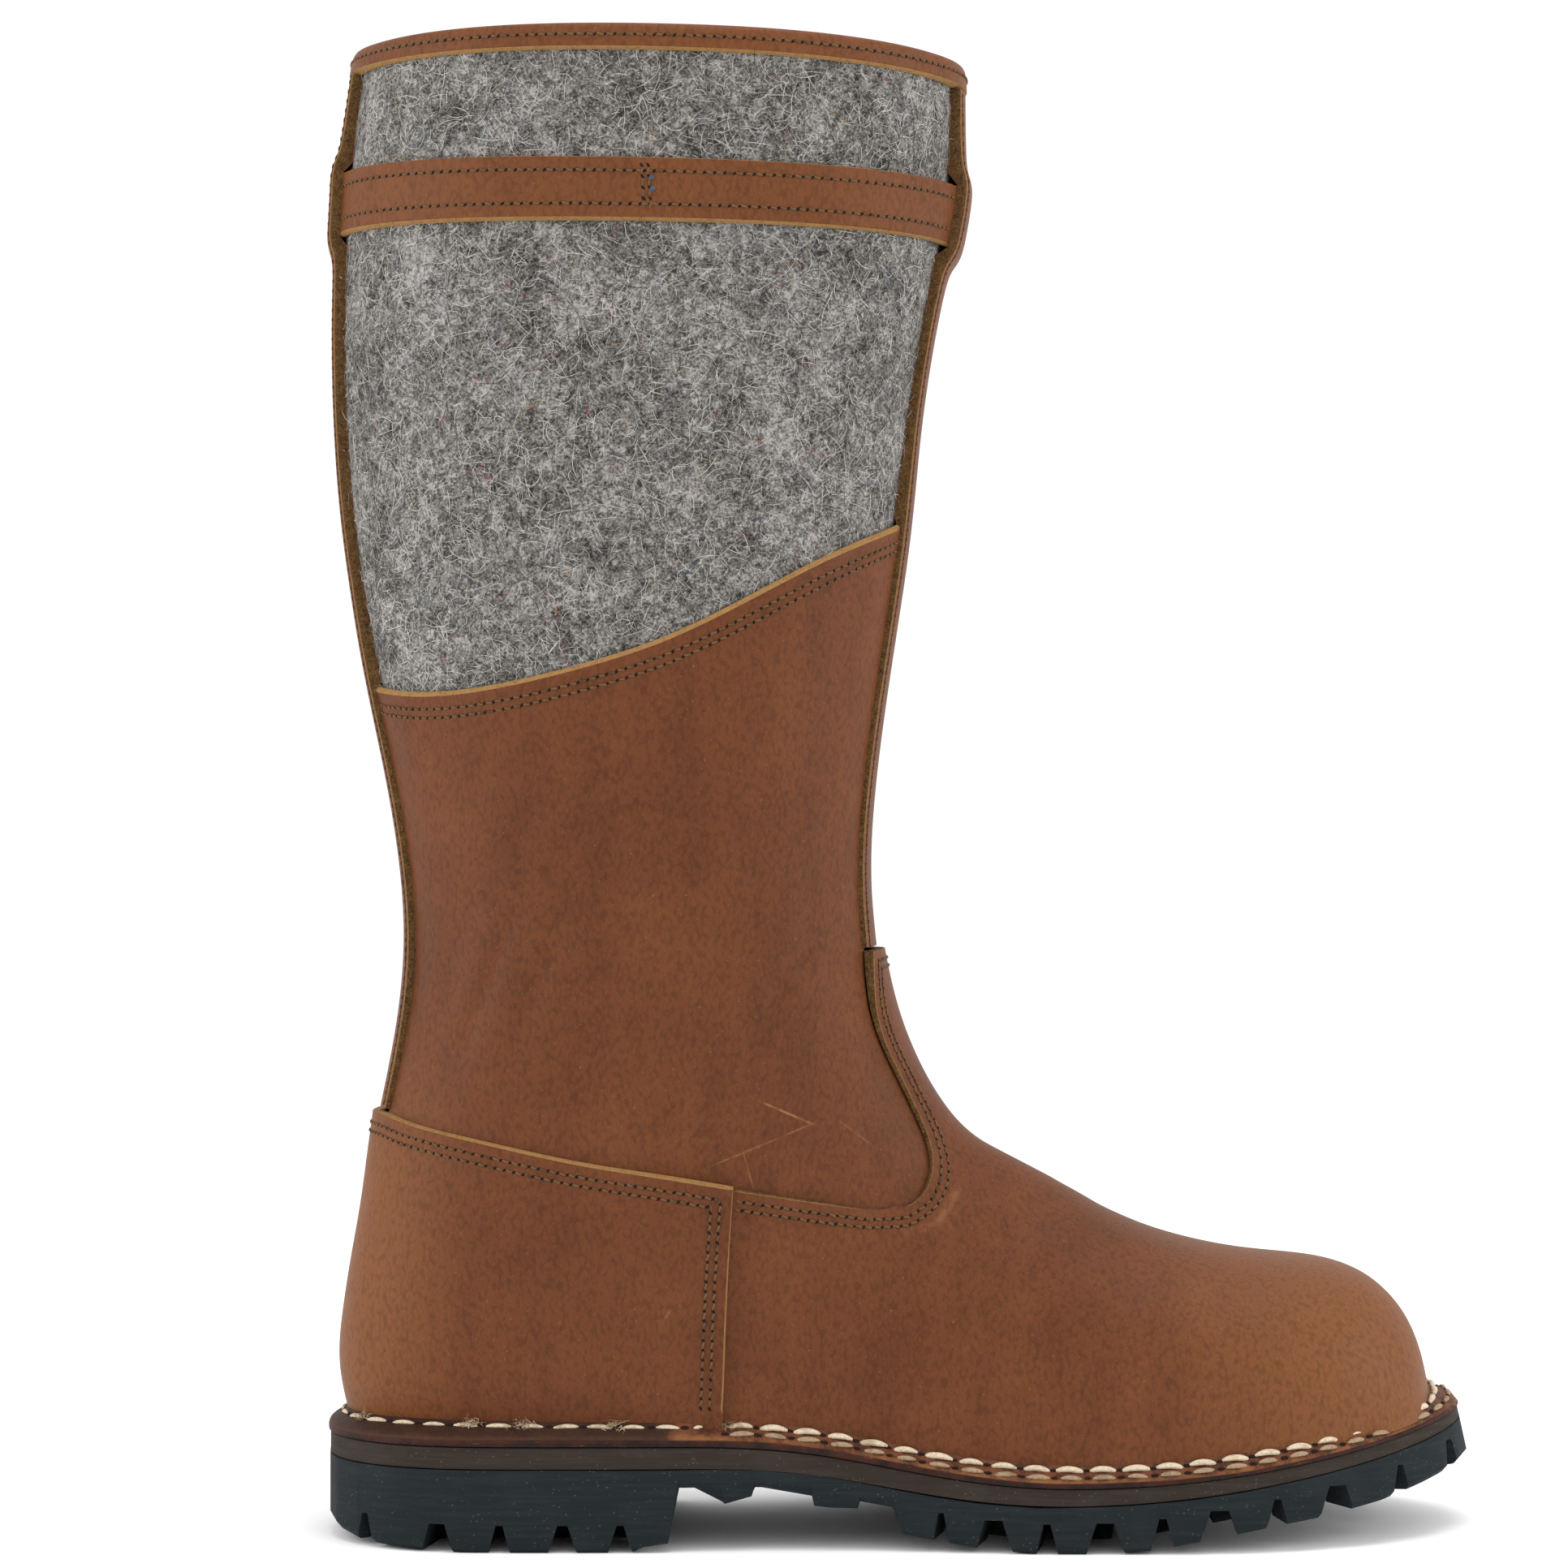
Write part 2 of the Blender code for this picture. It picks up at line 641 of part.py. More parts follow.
def notch_solid(sole, row, side):
    """A tapered notch running in from the sole's edge at right angles to it."""
    x = row["x"]
    reach = 0.6
    middle, half = sole.edge(x)
    ahead, behind = sole.edge(x + reach), sole.edge(x - reach)
    run = np.array((2 * reach, (ahead[0] + side * ahead[1]) - (behind[0] + side * behind[1])))
    run /= np.linalg.norm(run)
    inward = np.array((run[1], -run[0])) * side
    start = np.array((x, middle + side * half))
    height = HEEL_NOTCH_HEIGHT
    if x > 0:
        thickness = sole.rubber_top(x) - sole.underside(x)
        height = min(TREAD_NOTCH_HEIGHT, NOTCH_MOST_SHARE * thickness)
    roof = sole.underside(x) + height
    points = []
    widths = (row["roof_width"], row["mouth_width"] * NOTCH_MOUTH_FLARE)
    for z, width in zip((roof, roof - height - CUT_BELOW), widths):
        for travel in (-NOTCH_OUTSIDE, NOTCH_DEPTH):
            for across in (-width / 2, width / 2):
                points.append((*(start + inward * travel + run * across), z))
    faces = [(0, 1, 3, 2), (4, 6, 7, 5), (0, 4, 5, 1), (2, 3, 7, 6), (0, 2, 6, 4), (1, 5, 7, 3)]
    return points, faces


def channel_solid(sole, ends, height, closed_end, roof_ends):
    """A groove along both sides and round one end of the tread, a steady way in from its edge.

    Its roof follows the underside between roof_ends, and is level beyond them.
    """
    open_end = ends[0] if closed_end == ends[1] else ends[1]
    turns = [i * math.pi / 20 for i in range(11)]
    xs = [closed_end + (open_end - closed_end) * (1 - math.cos(turn)) for turn in turns]
    path = []
    for side, order in ((1, xs[::-1]), (-1, xs[1:])):
        for x in order:
            middle, half = sole.edge(x)
            share = math.sqrt(1 - max(0.0, 1 - abs(x - closed_end) / CHANNEL_ROUND) ** 2)
            path.append((x, middle + side * max(half - CHANNEL_INSET, CHANNEL_LEAST_HALF) * share))
    path = np.array(path)
    tangent = np.gradient(path, axis=0)
    tangent /= np.linalg.norm(tangent, axis=1)[:, None]
    sideways = np.stack([-tangent[:, 1], tangent[:, 0]], axis=1)
    points = []
    for (x, y), (dx, dy) in zip(path, sideways):
        roof = sole.underside(min(max(x, roof_ends[0]), roof_ends[1])) + height
        for z, width in zip((roof, roof - height - CUT_BELOW), CHANNEL_WIDTHS):
            for away in (-width / 2, width / 2):
                points.append((x + dx * away, y + dy * away, z))
    faces = [(0, 1, 3, 2)]
    for i in range(len(path) - 1):
        a, b = 4 * i, 4 * i + 4
        for p, q in ((0, 1), (1, 3), (3, 2), (2, 0)):
            faces.append((a + p, b + p, b + q, a + q))
    end = 4 * (len(path) - 1)
    faces.append((end, end + 2, end + 3, end + 1))
    return points, faces


def cross_solid(sole, x):
    """A straight groove across the middle of the tread."""
    middle, half = sole.edge(x)
    height = (HEEL_NOTCH_HEIGHT if x < 0 else TREAD_NOTCH_HEIGHT) - CHANNEL_SHALLOWER
    reach = half - CHANNEL_INSET
    roof = sole.underside(x) + height
    points = []
    for z, width in zip((roof, roof - height - CUT_BELOW), CROSS_WIDTHS):
        for y in (middle - reach, middle + reach):
            points += [(x - width / 2, y, z), (x + width / 2, y, z)]
    faces = [(0, 1, 3, 2), (4, 6, 7, 5), (0, 4, 5, 1), (2, 3, 7, 6), (0, 2, 6, 4), (1, 5, 7, 3)]
    return points, faces


def build_sole(sole):
    """Outsole with its lugs, midsole and welt."""
    end = SOLE_LENGTH / 2
    plain = stations_between(-end, end, SOLE_STATIONS)
    stepped = sorted(set(plain) | {x for x, _ in UNDERSIDE_ROWS})
    foot_pull = TOE_PULL["rubber_foot"]
    rubber = layer_solid(
        "outsole",
        [
            sole.loop(stepped, sole.rubber_top, RUBBER_INSET, TOE_PULL["rubber_top"]),
            sole.loop(stepped, lambda x: sole.underside(x) + SOLE_CHAMFER, RUBBER_INSET, foot_pull),
            sole.loop(stepped, sole.underside, RUBBER_INSET + SOLE_CHAMFER, foot_pull),
        ],
        "black_rubber",
    )
    table = column_table(NOTCH_COLUMNS, NOTCH_ROWS)
    notches = []
    for i in range(len(NOTCH_ROWS)):
        row = {name: values[i] for name, values in table.items()}
        notches += [notch_solid(sole, row, side) for side in (-1, 1)]
    deep = HEEL_NOTCH_HEIGHT - CHANNEL_SHALLOWER
    heel = channel_solid(sole, HEEL_CHANNEL_ENDS, deep, HEEL_CHANNEL_ENDS[0], HEEL_ROOF_ENDS)
    deep = TREAD_NOTCH_HEIGHT - CHANNEL_SHALLOWER
    tread = channel_solid(sole, TREAD_CHANNEL_ENDS, deep, TREAD_CHANNEL_ENDS[1], TREAD_ROOF_ENDS)
    crosses = [cross_solid(sole, x) for x in CROSS_CHANNELS]
    for name, solids in (("notches", notches), ("channels", [heel, tread]), ("crosses", crosses)):
        cut_away(rubber, cutter(name, solids))
    midsole = layer_solid(
        "midsole",
        [
            sole.loop(plain, sole.midsole_top, RUBBER_INSET, TOE_PULL["midsole"]),
            sole.loop(plain, lambda x: sole.rubber_top(x) + GAP, RUBBER_INSET, TOE_PULL["rubber_top"]),
        ],
        "taupe_rubber",
    )
    welt = layer_solid(
        "welt",
        [
            sole.loop(plain, sole.welt_top, WELT_SLOPE_WIDTH, TOE_PULL["welt"]),
            sole.loop(plain, lambda x: sole.welt_top(x) - WELT_SLOPE_DROP, 0.0, TOE_PULL["welt"]),
            sole.loop(plain, lambda x: sole.midsole_top(x) + GAP, 0.0, TOE_PULL["midsole"]),
        ],
        "welt_leather",
    )
    return [rubber, midsole, welt]


def upper_rows(last):
    """Runs of the upper's grid rows: closed rings down to the heel, then open arches to the toe."""
    heel = last.heel_run()
    ankle, waist = last.knots[ANKLE_ROW], last.knots[WAIST_ROW]
    rings = list(np.linspace(last.rim, ankle, SHAFT_RINGS))
    rings += list(np.linspace(ankle, heel, HEEL_RINGS))[1:]
    arches = last.even_hem_runs(waist, WAIST_ARCHES)[1:]
    arches += list(np.linspace(waist, last.end, TOE_ARCHES))[1:]
    return rings, arches


def build_upper(last):
    """The hollow shell, and the insole board that fits inside its lower edge."""
    rings, arches = upper_rows(last)
    places, faces, hem = [], [], []
    grid = []
    for run in rings:
        row = [len(places) + c for c in range(LOOP_COLUMNS)]
        for c in range(LOOP_COLUMNS):
            angle = -math.pi + 2 * math.pi * c / LOOP_COLUMNS
            places.append((last.rim_run(angle) if run == last.rim else run, angle))
        grid.append(row + row[:1])
    hem.append(grid[-1][0])
    for run in arches:
        foot = last.foot_angle(run)
        row = [len(places) + c for c in range(LOOP_COLUMNS + 1)]
        places += [(run, -foot + 2 * foot * c / LOOP_COLUMNS) for c in range(LOOP_COLUMNS + 1)]
        hem += [row[0], row[-1]] if run is not arches[-1] else row
        grid.append(row)
    for above, below in zip(grid, grid[1:]):
        for c in range(LOOP_COLUMNS):
            faces.append((above[c], below[c], below[c + 1], above[c + 1]))

    def layer(lift):
        points = [last.point(*place, lift) for place in places]
        for i in hem:
            points[i][2] = last.sole.seat(points[i][0])
        return points

    upper = sheet_solid("upper", faces, layer(0.0), layer(-WALL), "grey_felt")
    board_edge = layer(-WALL - INSOLE_MARGIN)
    outer = [grid[len(rings) + i][-1] for i in range(len(arches) - 1)]
    inner = [grid[len(rings) + i][0] for i in range(len(arches) - 1)]
    loop = [hem[0]] + outer + grid[-1][::-1] + inner[::-1]
    rim = [board_edge[i] for i in loop]
    low = [(x, y, last.sole.seat(x)) for x, y, _ in rim]
    top = [(x, y, last.sole.seat(x) + INSOLE_THICK) for x, y, _ in rim]
    return [upper, layer_solid("insole", [top, low], "insole_leather")]


class Seams:
    """The pattern's seam lines as (run, angle) nodes on the outer side, shared by the pieces they part."""

    def __init__(self, last):
        self.last = last
        self.tip_run = last.run_at_height(VAMP_TIP_Z, 0.0)
        self.heel_top_run = last.run_at_height(COUNTER_TOP_BACK_Z, math.pi)
        self.heel_run = last.heel_run()
        self.strip_edge = STRIP_HALF_WIDTH + GAP

    def shifted(self, points, away):
        """Side-view points moved to the left of their direction of travel."""
        path = np.array(points, float)
        tangent = np.gradient(path, axis=0)
        tangent /= np.linalg.norm(tangent, axis=1)[:, None]
        return path + away * np.stack([-tangent[:, 1], tangent[:, 0]], axis=1)

    def counter_top(self, away=0.0):
        """From the counter's front corner to the back strip's edge, at even angles."""
        path = self.shifted((COUNTER_CORNER,) + COUNTER_TOP, -away)
        drawn = [self.last.locate(*p, COUNTER_LIFT) for p in path]
        run = self.heel_top_run - away
        drawn.append((run, self.last.back_edge(run, self.strip_edge)))
        curve = smooth_curve([angle for _, angle in drawn], [run for run, _ in drawn])
        angles = np.linspace(drawn[0][1], drawn[-1][1], COUNTER_TOP_NODES)
        return [(float(curve(angle)), float(angle)) for angle in angles]

    def counter_front(self, away=0.0):
        """From the counter's front corner down to the welt."""
        foot = (COUNTER_FOOT_X, self.last.sole.seat(COUNTER_FOOT_X))
        path = even_nodes((COUNTER_CORNER,) + COUNTER_FRONT + (foot,), COUNTER_FRONT_NODES)
        nodes = [self.last.locate(*p, COUNTER_LIFT) for p in self.shifted(path, away)]
        run = nodes[-1][0]
        return nodes[:-1] + [(run, self.last.foot_angle(run))]

    def instep_curve(self, away=0.0):
        """From the front strip's edge at the vamp's tip, down to the curve's foot."""
        whole = self.shifted(INSTEP_CURVE + WING_TOP, -away)
        nodes = [self.last.locate(*p, VAMP_LIFT) for p in whole[: len(INSTEP_CURVE)]]
        run = self.tip_run - away
        return [(run, self.last.front_edge(run, self.strip_edge))] + nodes

    def wing_top(self, away=0.0):
        """From the foot of the instep curve back to the counter's front corner."""
        whole = self.shifted(INSTEP_CURVE + WING_TOP + (COUNTER_CORNER,), -away)
        return [self.last.locate(*p, VAMP_LIFT) for p in whole[len(INSTEP_CURVE) - 1 :]]

    def felt_line(self):
        """(share of the way between the strips, run) along the quarter's top edge, front to back."""
        last = self.last
        front = last.run_at_height(FELT_LINE_FRONT_Z, FELT_LINE_END_ANGLE)
        back = last.run_at_height(FELT_LINE_BACK_Z, math.pi - FELT_LINE_END_ANGLE)
        shares, runs = [0.0], [front]
        for x, z in reversed(FELT_LINE):
            run, angle = last.locate(x, z, QUARTER_LIFT)
            shares.append(self.share_at(run, angle))
            runs.append(run)
        return smooth_curve(shares + [1.0], runs + [back])

    def share_at(self, run, angle):
        """Where an angle lies between the front strip's edge, 0, and the back strip's edge, 1."""
        front = self.last.front_edge(run, self.strip_edge)
        back = self.last.back_edge(run, self.strip_edge)
        return min(max((angle - front) / (back - front), 0.0), 1.0)

    def angle_of_share(self, run, share):
        front = self.last.front_edge(run, self.strip_edge)
        return front + share * (self.last.back_edge(run, self.strip_edge) - front)


def blended_places(first_row, last_row, first_column, last_column):
    """A grid of (run, angle) filled in evenly between its four edges."""
    rows, columns = len(first_column), len(first_row)
    top, foot = np.array(first_row), np.array(last_row)
    near, far = np.array(first_column), np.array(last_column)
    places = []
    for r in range(rows):
        row = []
        for c in range(columns):
            down, along = r / (rows - 1), c / (columns - 1)
            sides = (1 - along) * near[r] + along * far[r]
            ends = (1 - down) * top[c] + down * foot[c]
            corners = (1 - down) * ((1 - along) * top[0] + along * top[-1])
            corners = corners + down * ((1 - along) * foot[0] + along * foot[-1])
            row.append(tuple(sides + ends - corners))
        places.append(row)
    return places


def build_quarters(last, seams):
    """The leather sides of the lower shaft, from the felt line down to counter and vamp."""
    foot = seams.wing_top(SEAM_GAP) + seams.counter_top(GAP)[1:]
    felt = seams.felt_line()
    instep = seams.instep_curve(SEAM_GAP)
    front = []
    for run in np.linspace(felt(0.0), instep[0][0], QUARTER_STRIP_ROWS)[:-1]:
        front.append((run, last.front_edge(run, seams.strip_edge)))
    front += instep
    back = []
    for run in np.linspace(felt(1.0), foot[-1][0], len(front)):
        back.append((run, last.back_edge(run, seams.strip_edge)))
    top = []
    for share in np.linspace(0, 1, len(foot)):
        top.append((felt(share), seams.angle_of_share(felt(share), share)))
    places = blended_places(top, foot, front, back)
    pieces = []
    for name, side in (("quarter_inner", -1), ("quarter_outer", 1)):
        turned = [[(run, side * angle) for run, angle in row] for row in places]
        pieces.append(
            patch_solid(name, last, turned, lambda r, c: (SEAT_LIFT, QUARTER_LIFT), "brown_leather")
        )
    return pieces


def build_vamp(last, seams):
    """The leather over the forefoot, from the tip on the front strip round to the toe."""
    instep, wing = seams.instep_curve(-SEAM_GAP), seams.wing_top(-SEAM_GAP)
    front = seams.counter_front(GAP)
    toe_run = last.knots[TOE_ROW]
    hem_runs = list(np.linspace(front[-1][0], toe_run, VAMP_HEM_NODES[0]))[1:]
    hem_runs += list(np.linspace(toe_run, last.end, VAMP_HEM_NODES[1]))[1:]
    edge = instep + wing[1:] + front[1:] + [(run, last.foot_angle(run)) for run in hem_runs]
    corner = len(instep) + len(wing) - 2
    foot = corner + len(front) - 1
    marks = (len(instep) - 1, len(instep) + 1, corner, foot, len(edge) - 1)
    ridge_marks = (instep[-1][0] + VAMP_RIDGE_AHEAD, *VAMP_RIDGE_RUNS, last.end)
    places = []
    for k, (run, angle) in enumerate(edge):
        ridge = np.interp(k, marks, ridge_marks)
        if k < marks[0]:
            ridge = run + VAMP_RIDGE_AHEAD * (k / marks[0]) ** 2
        half = []
        for c in range(VAMP_COLUMNS + 1):
            share = c / VAMP_COLUMNS
            half.append((ridge + (run - ridge) * share**VAMP_ROW_BEND, angle * share))
        places.append([(where, -turn) for where, turn in half[:0:-1]] + half)
    width = len(places[0])
    hem = {(r, c) for r in range(foot, len(edge)) for c in (0, width - 1)}
    hem |= {(len(edge) - 1, c) for c in range(width)}
    tip_run = edge[0][0]

    def lifts(r, c):
        run, _ = places[r][c]
        over_strip = 1 - smooth_step(run, tip_run, tip_run + TIP_LENGTH)
        from_edge = min(c, width - 1 - c)
        over_quarter = max(0.0, 1 - from_edge / 2) if r < corner else 0.0
        inside = FOOT_SEAT_LIFT + (QUARTER_LIFT + GAP - FOOT_SEAT_LIFT) * over_quarter
        return inside, VAMP_LIFT + OVERLAP_LIFT * over_strip

    return patch_solid("vamp", last, places, lifts, "brown_leather", hem=hem)


def build_counter(last, seams):
    """The leather round the heel, over the ends of vamp and back strip."""
    top = seams.counter_top(-GAP)
    top_run, strip_angle = top[-1]
    top += [(top_run, (strip_angle + math.pi) / 2), (top_run, math.pi)]
    front = seams.counter_front(-GAP)
    columns, rows = len(top), len(front)
    back = [(run, math.pi) for run in np.linspace(seams.heel_top_run + GAP, seams.heel_run, rows)]
    foot = [(run, last.foot_angle(run)) for run in last.even_hem_runs(front[-1][0], columns)[::-1]]
    places = []
    for row in blended_places(top, foot, front, back):
        places.append([(run, -angle) for run, angle in row[:-1]] + row[::-1])
    width = len(places[0])
    hem = {(rows - 1, c) for c in range(width)}

    def lifts(r, c):
        from_front = min(c, width - 1 - c)
        over_vamp = 1 - smooth_step(from_front, 0, 3)
        over_strip = (1 - smooth_step(columns - 1 - from_front, 1, 3)) * (1 - smooth_step(r, 0, 3))
        return HEEL_SEAT_LIFT, COUNTER_LIFT + OVERLAP_LIFT * max(over_vamp, over_strip)

    return patch_solid("counter", last, places, lifts, "brown_leather", hem=hem)


def build_strips(last, seams):
    """Leather strips over the shaft's front and back seams, bulging over the strap."""
    top = last.rim + BINDING_DEPTH + GAP
    fade_from, fade_to = (STRAP_WIDTH / 2 + fade for fade in STRIP_BULGE_FADE)
    near_strap = [last.strap + offset for offset in STRIP_BULGE_ROWS]
    pieces = []
    felt_line = seams.felt_line()
    ends = (
        ("front_strip", seams.tip_run, felt_line(0.0)),
        ("back_strip", seams.heel_top_run, felt_line(1.0)),
    )
    for name, end, felt_end in ends:
        bottom = end - GAP
        below = list(np.linspace(last.strap + STRIP_PLAIN_FROM, bottom, STRIP_PLAIN_ROWS))
        runs = [top] + near_strap + below
        places = []
        for run in runs:
            if name == "front_strip":
                edge = last.front_edge(run, STRIP_HALF_WIDTH)
                middle = 0.0
            else:
                edge = math.pi - last.back_edge(run, STRIP_HALF_WIDTH)
                middle = math.pi
            places.append([(run, middle + edge * share) for share in (-1, -0.5, 0, 0.5, 1)])

        def lifts(r, c, runs=runs, felt_end=felt_end):
            away = abs(runs[r] - last.strap)
            leather = smooth_step(runs[r], felt_end - STRIP_FELT_FADE, felt_end)
            lift = STRIP_FELT_LIFT + (STRIP_LIFT - STRIP_FELT_LIFT) * leather
            rise = STRAP_LIFT * (1 - smooth_step(away, fade_from, fade_to))
            return SEAT_LIFT + rise, lift + rise

        pieces.append(patch_solid(name, last, places, lifts, "brown_leather"))
    return pieces


def build_strap(last):
    """The strap round the shaft, lying on the felt and under both strips."""
    columns = LOOP_COLUMNS
    places = []
    for offset in (-0.5, 0.0, 0.5):
        run = last.strap + offset * STRAP_WIDTH
        places.append([(run, -math.pi + 2 * math.pi * c / columns) for c in range(columns)])
    return patch_solid(
        "strap", last, places, lambda r, c: (SEAT_LIFT, STRAP_LIFT), "brown_leather", ring=True
    )


def build_binding(last):
    """The folded leather edge over the collar, thicker where the strips run into it."""
    columns = LOOP_COLUMNS
    inside = -WALL - GAP
    swell_from, swell_to = (STRIP_HALF_WIDTH + fade for fade in BINDING_SWELL_FADE)
    points = []
    for c in range(columns):
        angle = -math.pi + 2 * math.pi * c / columns
        from_middle = abs(last.surface(last.rim, angle)[1])
        over_strip = 1 - smooth_step(from_middle, swell_from, swell_to)
        outside = GAP + BINDING_THICK + BINDING_OVER_STRIP * over_strip
        low, roof = last.rim_run(angle) + BINDING_DEPTH, last.rim_run(angle) - GAP
        profile = (
            (low, GAP),
            (low, outside),
            (roof, outside),
            (roof - BINDING_THICK, outside - BINDING_THICK),
            (roof - BINDING_THICK, inside),
            (roof, inside - BINDING_THICK),
            (low, inside - BINDING_THICK),
            (low, inside),
            (roof, inside),
            (roof, GAP),
        )
        points += [last.point(run, angle, lift) for run, lift in profile]
    size = len(profile)
    faces = []
    for c in range(columns):
        after = (c + 1) % columns
        for p in range(size):
            q = (p + 1) % size
            faces.append((c * size + p, c * size + q, after * size + q, after * size + p))
    return new_object("collar_binding", points, faces, "brown_leather")


def swing_amount(x, z):
    """How far a drawn point moves to the outer side as the foot turns out."""
    bend = min(max(x, SWING_FROM), SWING_STRAIGHT_FROM) - SWING_FROM
    travel = bend**2 / 2 / (SWING_STRAIGHT_FROM - SWING_FROM) + max(0.0, x - SWING_STRAIGHT_FROM)
    return SWING_SLOPE * travel * (1 - smooth_step(z, *SWING_FADE))


def swing_out(obj, sole):
    """Turns the foot outward. Points move along their line of sight, so the side view stays as drawn.

    The rubber keeps its heights, so that it stays on the floor, and the layers on it thin out.
    """
    for vertex in obj.data.vertices:
        x, y, z = (value / MM for value in vertex.co)
        amount = swing_amount(x, z)
        growth = amount / (y - EYE[1])
        low, high = sole.rubber_top(x), sole.welt_top(x)
        above = min(max((z - low) / (high - low), 0.0), 1.0)
        moved = (x + (x - EYE[0]) * growth, y + amount, z + (z - EYE[2]) * growth * above)
        vertex.co = [value * MM for value in moved]


def main():
    for obj in list(bpy.data.objects):
        bpy.data.objects.remove(obj)
    sole = Sole()
    last = Last(sole)
    seams = Seams(last)
    pieces = build_sole(sole)
    pieces += build_upper(last)
    pieces += build_quarters(last, seams)
    pieces += build_strips(last, seams)
    pieces += [build_vamp(last, seams), build_counter(last, seams), build_strap(last), build_binding(last)]
    for obj in list(bpy.data.objects):
        swing_out(obj, sole)
    corners = np.array([vertex.co for piece in pieces for vertex in piece.data.vertices])
    middle = (corners.min(axis=0) + corners.max(axis=0)) / 2
    boot = bpy.data.objects.new("boot", None)
    boot.location = (-middle[0], -middle[1], 0.0)
    for obj in list(bpy.data.objects):
        if obj is not boot:
            obj.parent = boot
    bpy.context.scene.collection.objects.link(boot)


main()
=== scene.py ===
"""Looks of the left pull-on hunting boot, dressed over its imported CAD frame.

Frame: metres, +X to the toe, +Y to the outer side, +Z up. The photograph shows the inner side, -Y.
Seam lines are given in the part's drawing, in millimetres, and moved into the frame by drawing_shift.
"""

import json
import logging
import math
from contextlib import contextmanager
from dataclasses import dataclass
from enum import Enum
from typing import Callable, Iterable, Iterator, Sequence, Union

import bpy
import numpy as np
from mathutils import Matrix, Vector
from mathutils.bvhtree import BVHTree
from mathutils.kdtree import KDTree

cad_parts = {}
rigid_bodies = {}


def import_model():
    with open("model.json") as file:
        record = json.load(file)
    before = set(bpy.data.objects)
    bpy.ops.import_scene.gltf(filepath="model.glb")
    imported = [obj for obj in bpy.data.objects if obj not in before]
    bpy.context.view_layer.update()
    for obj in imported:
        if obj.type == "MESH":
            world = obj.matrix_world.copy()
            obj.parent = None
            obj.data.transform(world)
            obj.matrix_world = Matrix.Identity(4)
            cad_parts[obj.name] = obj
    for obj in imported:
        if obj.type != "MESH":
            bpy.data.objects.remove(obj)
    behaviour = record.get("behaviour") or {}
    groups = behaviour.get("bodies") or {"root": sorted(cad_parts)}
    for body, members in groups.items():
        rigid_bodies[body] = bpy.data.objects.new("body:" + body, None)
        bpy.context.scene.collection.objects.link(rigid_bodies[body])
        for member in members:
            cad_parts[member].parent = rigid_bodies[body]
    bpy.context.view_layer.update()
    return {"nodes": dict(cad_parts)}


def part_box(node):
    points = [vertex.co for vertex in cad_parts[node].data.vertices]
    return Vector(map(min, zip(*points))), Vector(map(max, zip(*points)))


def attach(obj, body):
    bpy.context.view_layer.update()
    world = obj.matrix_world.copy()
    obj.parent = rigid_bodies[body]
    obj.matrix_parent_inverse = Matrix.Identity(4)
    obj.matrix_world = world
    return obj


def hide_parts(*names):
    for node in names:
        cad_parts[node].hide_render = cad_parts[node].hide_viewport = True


for startup_object in list(bpy.data.objects):
    bpy.data.objects.remove(startup_object)

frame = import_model()

Colour = tuple[float, float, float]
Point2 = tuple[float, float]
Edge = tuple[int, int]
Hit = tuple[Vector, Vector]
Array = np.ndarray
Piece = bpy.types.Object
Face = bpy.types.MeshPolygon
Socket = bpy.types.NodeSocket
Material = bpy.types.Material
Number = Union[int, float, "Value"]

log = logging.getLogger("hunting_boot")

MM = 0.001
BODY = "root"

# The Mix node's sockets for colours
MIX_INPUTS = (0, 6, 7)
MIX_OUTPUT = 2
BLACK = (0.0, 0.0, 0.0)

# A leather piece's materials: its skin, its cut edge and the trimmed corner of a fibrous edge
SKIN, WALL, CORNER = range(3)

# The felt shell's materials: outside, inside, and under the leather, painted dark brown as the shade in the
# gaps between panels
OUTSIDE, INSIDE, COVERED = range(3)

# How CAD triangles are joined: the merging distance in millimetres, a quad's largest fold and skew in degrees
MERGE_DISTANCE = 0.01
QUAD_ANGLES = (50, 70)

# Sizes repeated from the part's drawing, in millimetres
SOLE_LENGTH = 306.0
STRIP_HALF_WIDTH = 14.0
SHAFT_MIDDLE_X = -66.0
FOOT_TOP = 115.0
FOOT_CORE_Z = 50.0
FOOT_CORE_ENDS = (-110.0, 105.0)
FOOT_TURN = 0.09
FOOT_TURN_FROM = -60.0
WELT_SLOPE_DROP = 1.1
VIEW_POINT = (-30.4, -1100.0, 200.0)
FELT_LINE = (
    (-138.0, 226.0), (-118.0, 224.0), (-94.0, 228.0), (-71.0, 234.0), (-46.0, 245.0), (-18.0, 260.0),
    (-3.0, 269.0),
)


class Side(Enum):
    """The boot's two sides, as the sign of Y."""

    INNER = -1
    OUTER = 1


class Slot(Enum):
    """The record's material slots."""

    RUBBER = "black_rubber"
    MIDSOLE = "taupe_rubber"
    WELT = "welt_leather"
    INSOLE = "insole_leather"
    FELT = "grey_felt"
    LEATHER = "brown_leather"


class Tint(Enum):
    """Linear colours of the stray fibres in the felt and of frayed thread."""

    PALE = (0.52, 0.505, 0.475)
    GREY = (0.24, 0.23, 0.215)
    DARK = (0.026, 0.0245, 0.023)
    RED = (0.30, 0.04, 0.05)
    BLUE = (0.05, 0.08, 0.20)
    OCHRE = (0.36, 0.21, 0.05)
    CREAM = (0.50, 0.38, 0.25)
    SOILED = (0.16, 0.09, 0.045)


def drawing_shift() -> Vector:
    """How far the part's drawing was moved to centre its box.

    Returns:
        The shift in metres.
    """
    welt_low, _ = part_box("welt")
    strap_low, strap_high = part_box("strap")
    return Vector((welt_low.x + SOLE_LENGTH / 2 * MM, (strap_low.y + strap_high.y) / 2, 0.0))


SHIFT = drawing_shift()


